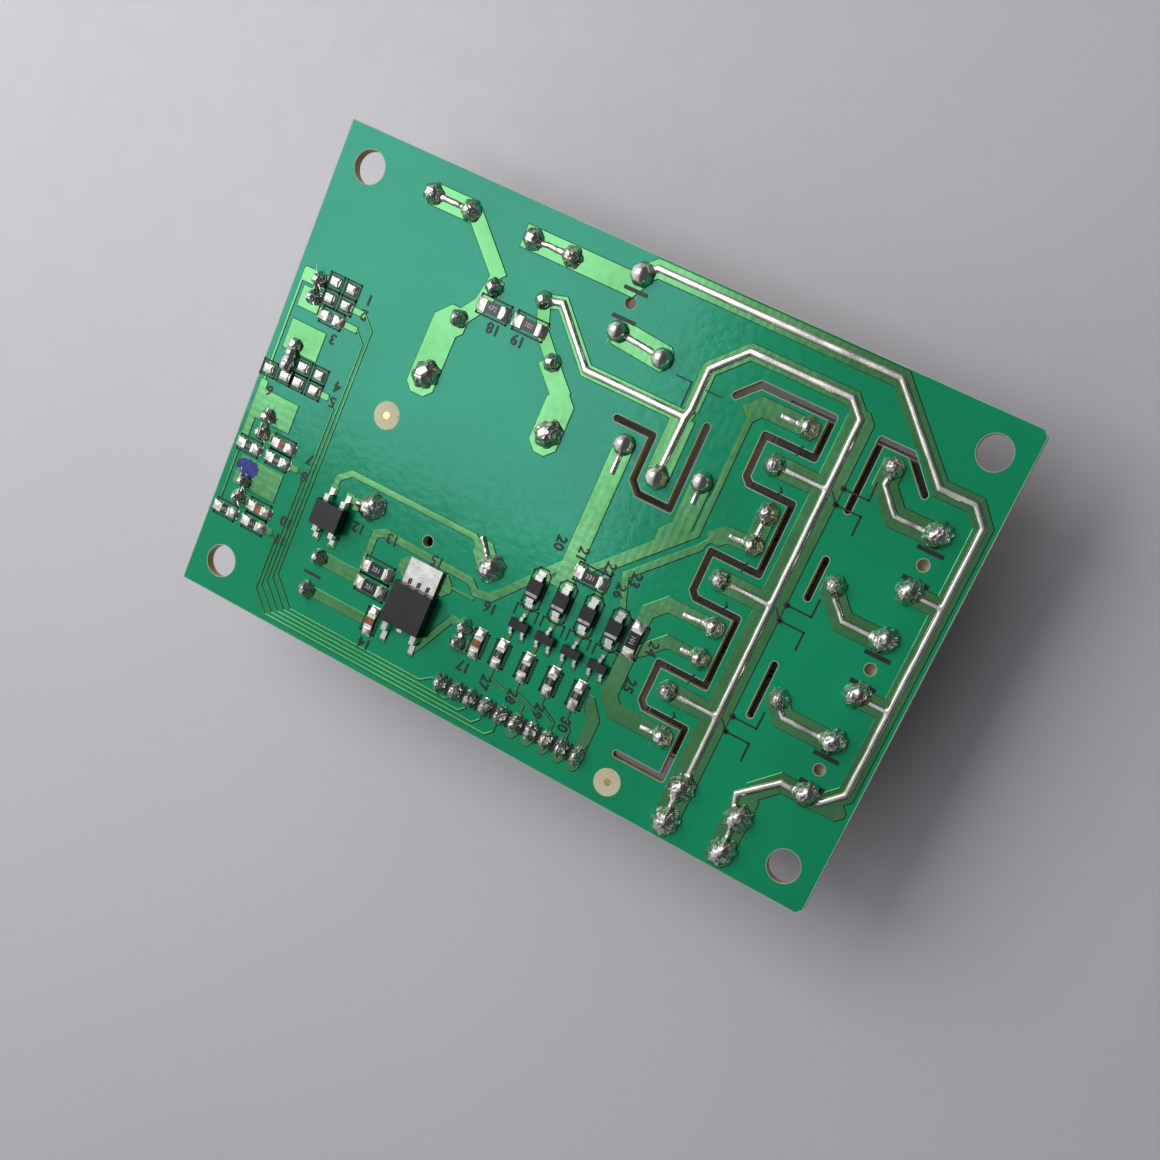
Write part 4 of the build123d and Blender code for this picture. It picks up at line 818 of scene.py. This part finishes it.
# bars above and below each peg hole, and the loose strokes of the left-out relay and the bridge
def markPegs():
    peg = dict(x=45.95, reach=1.55, drop=0.2, apart=2.1, line=0.6)
    spare = dict(x=-4.4, y=27.7, reach=1.5, steps=(-1.9, 2.0), line=0.55)
    for i in range(1, 4):
        low, high = inMm(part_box(f"output_connector_{i}"))
        row = (low.y + high.y) / 2 - peg["drop"]
        for y in (row - peg["apart"], row + peg["apart"]):
            inkLine((peg["x"] - peg["reach"], y), (peg["x"] + peg["reach"], y), peg["line"])
    for y in [spare["y"] + step for step in spare["steps"]]:
        inkLine((spare["x"] - spare["reach"], y), (spare["x"] + spare["reach"], y), spare["line"])
    inkPath([(5.5, 22.2), (7.8, 22.2), (7.8, 18.7)], 0.18)
    inkPath([(10.1, 22.0), (12.3, 22.0)], 0.18)
    inkLine((-34.1, -25.2), (-31.7, -25.2), 0.42)


digitHeight = 1.55  # in mm
legendNumbers = {
    # place of each plain number on the board in mm; the first lot reads with the board turned round
    180: ((-40.2, 13.7), (-40.2, 11.5), (-43.4, 6.6), (-40.0, 0.8), (-39.9, -1.4), (-49.9, -4.0),
          (-39.9, -10.3), (-39.8, -12.9), (-50.3, -15.4), (-39.8, -20.1), (-39.8, -22.9), (-28.8, -15.9),
          (-23.2, -15.1), (-21.2, -30.6), (-15.6, -14.9), (-5.6, -17.3), (-5.8, -26.6), (-21.2, 17.4),
          (-17.2, 17.4)),
    270: ((0.0, -4.7), (3.6, -4.7), (8.1, -4.9), (12.0, -4.6), (18.2, -11.9), (17.4, -17.9), (10.6, -6.9),
         (-2.0, -27.2), (2.5, -27.2), (7.0, -27.2), (11.2, -27.2)),
}


def printNumbers():
    bm, count = bmesh.new(), 0
    for heading, spots in legendNumbers.items():
        for spot in spots:
            count += 1
            addDigits(bm, str(count), spot, digitHeight, heading, 0.0)
    makePiece("legend_numbers", bm, "solder_mask", materials=[legendInk])


frameChips()
frameEmptyLands()
frameDiodes()
markHeader()
markRelays()
markPegs()
makePiece("legend_lines", legendBm, "solder_mask", materials=[legendInk])
printNumbers()
print("legend printed")


# bare laminate round the two target dots
def openMaskDiscs():
    disc = dict(radius=2.0, thick=0.02, level=0.012)
    bm = bmesh.new()
    for low, high in islandsOf("fiducial_dots"):
        middle = (low + high) / 2
        addDisc(bm, Vector((middle.x, middle.y, disc["level"] * mm)), disc["radius"], disc["thick"], 48)
    makePiece("mask_openings", bm, "solder_mask", materials=[openMask])


# felt-pen dab by the last sensor pair: a blot with a ragged edge
def penDab():
    dab = dict(at=(-48.6, -15.6), size=(1.75, 1.25), level=0.02, thick=0.1,
               ragged=((0.32, 2.2, 4.1), (0.12, 7, 9.3)))  # depth, fineness and seed
    bm = bmesh.new()
    made = bmesh.ops.create_circle(bm, cap_ends=True, segments=56, radius=1.0)
    for vert in made["verts"]:
        angle = math.atan2(vert.co.y, vert.co.x)
        ragged = 1
        for depth, fine, seed in dab["ragged"]:
            ragged += depth * noise.noise(Vector((math.cos(angle) * fine, math.sin(angle) * fine, seed)))
        vert.co = Vector((dab["at"][0] + vert.co.x * dab["size"][0] * ragged,
                          dab["at"][1] + vert.co.y * dab["size"][1] * ragged, dab["level"])) * mm
    raised = bmesh.ops.extrude_face_region(bm, geom=bm.faces[:])["geom"]
    bmesh.ops.translate(bm, verts=[v for v in raised if isinstance(v, bmesh.types.BMVert)],
                        vec=(0, 0, dab["thick"] * mm))
    closeUp(bm)
    makePiece("pen_dab", bm, "solder_mask", materials=[markerInk])


# plain digits fired on the black chips, and the band at one end of each diode
def partMarks():
    value = dict(height=0.42, thick=0.01)  # height as a share of the chip's width
    band = dict(low=(0.18, 0.35, -0.004), high=(-0.18, 0.77, 0.01))  # off the body's upper edge, in mm
    bm = bmesh.new()
    values = random.Random(5)
    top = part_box("chip_resistor_bodies")[1].z / mm
    for low, high in resistorChips:
        size, middle = high - low, (low + high) / 2
        digits = str(values.choice((101, 102, 103, 471, 472, 331)))
        heading = 90 if size.x < size.y else 0
        addDigits(bm, digits, middle, min(size) * value["height"], heading, top, value["thick"])
    makePiece("chip_values", bm, "chip_resistor", materials=[chipPrint])
    bm = bmesh.new()
    for i in range(1, 5):
        low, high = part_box(f"diode_{i}")
        a = Vector((low.x, low.y, high.z)) + Vector(band["low"]) * mm
        addBlock(bm, a, Vector((high.x, low.y, high.z)) + Vector(band["high"]) * mm)
    makePiece("diode_bands", bm, "moulded_epoxy", materials=[chipPrint])


# three grooves where the regulator's tab leaves its body, laid on as thin dark strips: painted shade
# standing in for the grooves' hollows
def tabGrooves():
    groove = dict(size=(0.28, 0.85, 0.02), apart=1.5, gap=0.1)
    low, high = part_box("regulator_body")
    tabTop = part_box("regulator_tab_and_leads")[1].z
    size = Vector(groove["size"]) * mm
    bm = bmesh.new()
    for side in (-1, 0, 1):
        x = (low.x + high.x) / 2 + side * groove["apart"] * mm
        a = Vector((x - size.x / 2, high.y + groove["gap"] * mm, tabTop - size.z / 2))
        addBlock(bm, a, a + size)
    makePiece("tab_groove_shade_strips", bm, "moulded_epoxy")


tabGrooves()
openMaskDiscs()
penDab()
partMarks()
print("mask openings, pen dab and part marks done")


# moulded case: rounded edges, sharp at the board if asked, and a panel in its lid, which faces down
def mouldedCase(name, look, sharpFoot):
    low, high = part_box(name)
    bm = bmesh.new()
    addBlock(bm, low, high)
    edges = [e for e in bm.edges if not sharpFoot or min(v.co.z for v in e.verts) < high.z - 0.1 * mm]
    bmesh.ops.bevel(bm, geom=edges, offset=look["edge"] * mm, affect="EDGES", segments=3, profile=0.5,
                    material=-1)
    lid = max((f for f in bm.faces if f.normal.z < -0.99), key=lambda f: f.calc_area())
    bmesh.ops.inset_individual(bm, faces=[lid], thickness=look["panelInset"] * mm)
    bmesh.ops.inset_individual(bm, faces=[lid], thickness=look["panelStep"] * mm,
                               depth=-look["panelDrop"] * mm)
    return bm, low, high


# injection-moulded cover: soft edges, a panel pressed into its lid and the stub of its vent
def relayCover(name):
    look = dict(edge=0.55, panelInset=1.1, panelStep=0.15, panelDrop=0.18, ventRadius=0.85, ventHigh=0.3,
                ventAt=(-3.2, -3.0, 0.08))
    bm, low, high = mouldedCase(name, look, sharpFoot=True)
    corner = Vector((high.x, high.y, low.z)) + Vector(look["ventAt"]) * mm
    addDisc(bm, corner, look["ventRadius"], look["ventHigh"], 20)
    bmesh.ops.recalc_face_normals(bm, faces=bm.faces)
    makePiece(name + "_cover", bm, "relay_case", name)


# dipped disc: slightly crowned faces and a full round rim
def dippedVaristor():
    look = dict(rim=1.3, crown=0.25, rimSteps=9)
    low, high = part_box("varistor")
    middle, half = (low + high) / 2, (high - low) / 2 / mm
    profile = [(0, -half.y)]
    for step in range(look["rimSteps"]):
        angle = math.radians(-90 + step * 180 / (look["rimSteps"] - 1))
        radius = half.x - look["rim"] + look["rim"] * math.cos(angle)
        profile.append((radius, (half.y - look["crown"]) * math.sin(angle)))
    profile.append((0, half.y))
    bm = bmesh.new()
    spinProfile(bm, middle, profile, 64, (0, 1, 0))
    closeUp(bm)
    makePiece("varistor_disc", bm, "blue_epoxy", "varistor", smooth=True)


# potted box capacitor: rounded moulding with a shallow panel in its lid
def filmBox():
    look = dict(edge=0.5, panelInset=0.7, panelStep=0.12, panelDrop=0.12)
    bm = mouldedCase("film_capacitor", look, sharpFoot=False)[0]
    makePiece("film_box", bm, "yellow_case", "film_capacitor")


# aluminium can: sleeve shrunk over its shoulder, bare end with a scored cross, pale polarity stripe
def dressedCan(name, pieceName):
    cross = dict(reach=0.6, line=0.09, proud=0.02)
    stripe = dict(thick=0.025, foot=1.0, head=2.8, start=-118, sweep=56)
    low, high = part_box(name)
    middle = Vector(((low.x + high.x) / 2, (low.y + high.y) / 2, low.z))
    radius, height = (high.x - low.x) / 2 / mm, (high.z - low.z) / mm
    sleeve = [(0, 0.08), (radius * 0.78, 0.08), (radius * 0.8, 0.02), (radius * 0.9, 0.02),
              (radius - 0.12, 0.14), (radius, 0.5), (radius, height - 2.5), (radius - 0.4, height - 2.0),
              (radius - 0.4, height - 1.75), (radius, height - 1.3), (radius - 0.05, height - 0.5),
              (radius - 0.6, height), (0, height)]
    bm = bmesh.new()
    spinProfile(bm, middle, sleeve, 64)
    closeUp(bm)
    makePiece(pieceName + "_sleeve", bm, "can_sleeve", name, smooth=True)
    bm = bmesh.new()
    addDisc(bm, middle + Vector((0, 0, 0.05 * mm)), radius * 0.77, 0.1, 48)
    reach = Vector((radius * cross["reach"], cross["line"], cross["proud"])) * mm
    for turn in (45, 135):  # the cross stands a hair proud, as the lip of a score does
        addBlock(bm, middle - reach, middle + reach, math.radians(turn))
    makePiece(pieceName + "_base", bm, "can_sleeve", materials=[canTin])
    bm = bmesh.new()
    thick, foot, head = stripe["thick"], stripe["foot"], height - stripe["head"]
    verts = [bm.verts.new(middle + Vector((radius + out, 0, level)) * mm)
             for out, level in ((0, foot), (thick, foot), (thick, head), (0, head))]
    edges = [bm.edges.new(pair) for pair in zip(verts, verts[1:] + verts[:1])]
    turn = Matrix.Rotation(math.radians(stripe["start"]), 3, "Z")
    bmesh.ops.rotate(bm, verts=verts, cent=middle, matrix=turn)
    bmesh.ops.spin(bm, geom=verts + edges, cent=middle, axis=(0, 0, 1),
                   angle=math.radians(stripe["sweep"]), steps=14)
    bmesh.ops.holes_fill(bm, edges=[e for e in bm.edges if e.is_boundary], sides=4)
    closeUp(bm)
    makePiece(pieceName + "_stripe", bm, "can_sleeve", materials=[chipPrint])


# the wire inside the fuse, a little off the tube's middle
def fuseWire():
    wire = dict(radius=0.12, drop=0.5)
    low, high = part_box("fuse_tube")
    bm = bmesh.new()
    addDisc(bm, (0, 0, 0), wire["radius"], (high.x - low.x) / mm, 8)
    bmesh.ops.rotate(bm, verts=bm.verts, cent=(0, 0, 0), matrix=Matrix.Rotation(math.pi / 2, 3, "Y"))
    bmesh.ops.translate(bm, verts=bm.verts, vec=(low + high) / 2 - Vector((0, 0, wire["drop"] * mm)))
    makePiece("fuse_wire", bm, "tinned_steel", smooth=True)


# legend of the component side: an outline round every large part
def underLegend():
    look = dict(gap=0.45, ringGap=0.5, width=0.2, thick=0.02)
    bm = bmesh.new()
    ink = dict(width=look["width"], bm=bm, level=boardLow.z / mm - 0.016, thick=look["thick"])
    edge = Vector((look["gap"], look["gap"]))
    framed = ["film_capacitor", "varistor", "transformer_core", "fuse_clips", "header_housing"]
    for name in relays + framed + [f"sensor_connector_{i}" for i in (1, 2, 3)]:
        low, high = inMm(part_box(name))
        inkFrame(low - edge, high + edge, **ink)
    for name in ("large_capacitor", "small_capacitor"):
        low, high = inMm(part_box(name))
        middle, radius = (low + high) / 2, (high.x - low.x) / 2 + look["ringGap"]
        angles = [math.radians(degrees) for degrees in range(0, 360, 12)]
        ring = [(middle.x + radius * math.cos(a), middle.y + radius * math.sin(a)) for a in angles]
        inkPath(ring, closed=True, **ink)
    makePiece("under_legend", bm, "solder_mask", materials=[legendInk])


for name in relays:
    relayCover(name)
dippedVaristor()
filmBox()
dressedCan("large_capacitor", "large_can")
dressedCan("small_capacitor", "small_can")
fuseWire()
underLegend()
print("component side dressed")


def stageFloor():
    look = dict(size=6.0, low="#D3D1D6", high="#DAD8DC", driftMm=240, smoothest=0.5, roughest=0.62)
    bm = bmesh.new()
    bmesh.ops.create_grid(bm, x_segments=1, y_segments=1, size=look["size"])
    bmesh.ops.translate(bm, verts=bm.verts, vec=(0, 0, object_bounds()[0].z))
    # painted backdrop board: pale grey, matt
    material, tree, place = newMaterial("painted_backdrop")
    grain = addNode(tree, "ShaderNodeTexNoise", {"Vector": place, "Scale": everyMm(4), "Detail": 4.0})
    floor = addObject("floor", meshOf("floor", bm))
    floor.data.materials.append(finishMaterial(material, place, look, grain.outputs["Fac"]))


def setCamera():
    # held close above the solder side, turned so that the board lies slanted in the frame
    view = dict(at=(68.68, 25.68, 205.87), forward=(-0.23567, -0.26682, -0.93449),
                down=(0.46686, -0.87444, 0.13194), lens=48.82, shiftUp=0.1724)
    data = bpy.data.cameras.new("camera")
    data.lens, data.sensor_width = view["lens"], 36
    data.shift_y = view["shiftUp"]
    data.clip_start = 0.01
    camera = addObject("camera", data)
    forward, down = Vector(view["forward"]), Vector(view["down"])
    turn = Matrix((down.cross(forward), -down, -forward)).transposed()
    camera.matrix_world = Matrix.Translation(Vector(view["at"]) * mm) @ turn.to_4x4()
    bpy.context.scene.camera = camera


# soft window overhead; its mirror image lies on the mask's left half as a pale sheen
def setWindow():
    look = dict(at=(-320, 83, 300), size=(0.48, 0.28), watts=1.1)
    data = bpy.data.lights.new("window", "AREA")
    data.shape = "RECTANGLE"
    data.size, data.size_y = look["size"]
    data.energy = look["watts"]
    addObject("window", data).location = Vector(look["at"]) * mm


def setRoom():
    # the room is pale on the window's side and dim behind the camera; the camera sees a plain wall
    look = dict(pale="#E4E6EA", dim="#484B50", towards=(-0.95, -0.05, 0.3), strength=0.93, wall="#D3D1D6")
    world = bpy.data.worlds.new("room")
    world.use_nodes = True
    tree = world.node_tree
    tree.nodes.clear()
    heading = addNode(tree, "ShaderNodeTexCoord").outputs["Generated"]
    side = addNode(tree, "ShaderNodeVectorMath", {0: heading, 1: look["towards"]},
                   {"operation": "DOT_PRODUCT"}).outputs["Value"]
    fade = addNode(tree, "ShaderNodeMapRange", {"Value": side, "From Min": 0.05, "From Max": 0.75})
    light = addNode(tree, "ShaderNodeMix", {
        "Factor": fade.outputs[0], 6: fromHex(look["dim"]), 7: fromHex(look["pale"])}, {"data_type": "RGBA"})
    room = addNode(tree, "ShaderNodeBackground", {"Color": light.outputs[2], "Strength": look["strength"]})
    wall = addNode(tree, "ShaderNodeBackground", {"Color": fromHex(look["wall"]), "Strength": 1.0})
    ray = addNode(tree, "ShaderNodeLightPath")
    mix = addNode(tree, "ShaderNodeMixShader", {
        0: ray.outputs["Is Camera Ray"], 1: room.outputs[0], 2: wall.outputs[0]})
    addNode(tree, "ShaderNodeOutputWorld", {"Surface": mix.outputs[0]})
    bpy.context.scene.world = world


stageFloor()
setCamera()
setWindow()
setRoom()
bpy.context.scene.view_settings.view_transform = "Standard"
print("stage set")
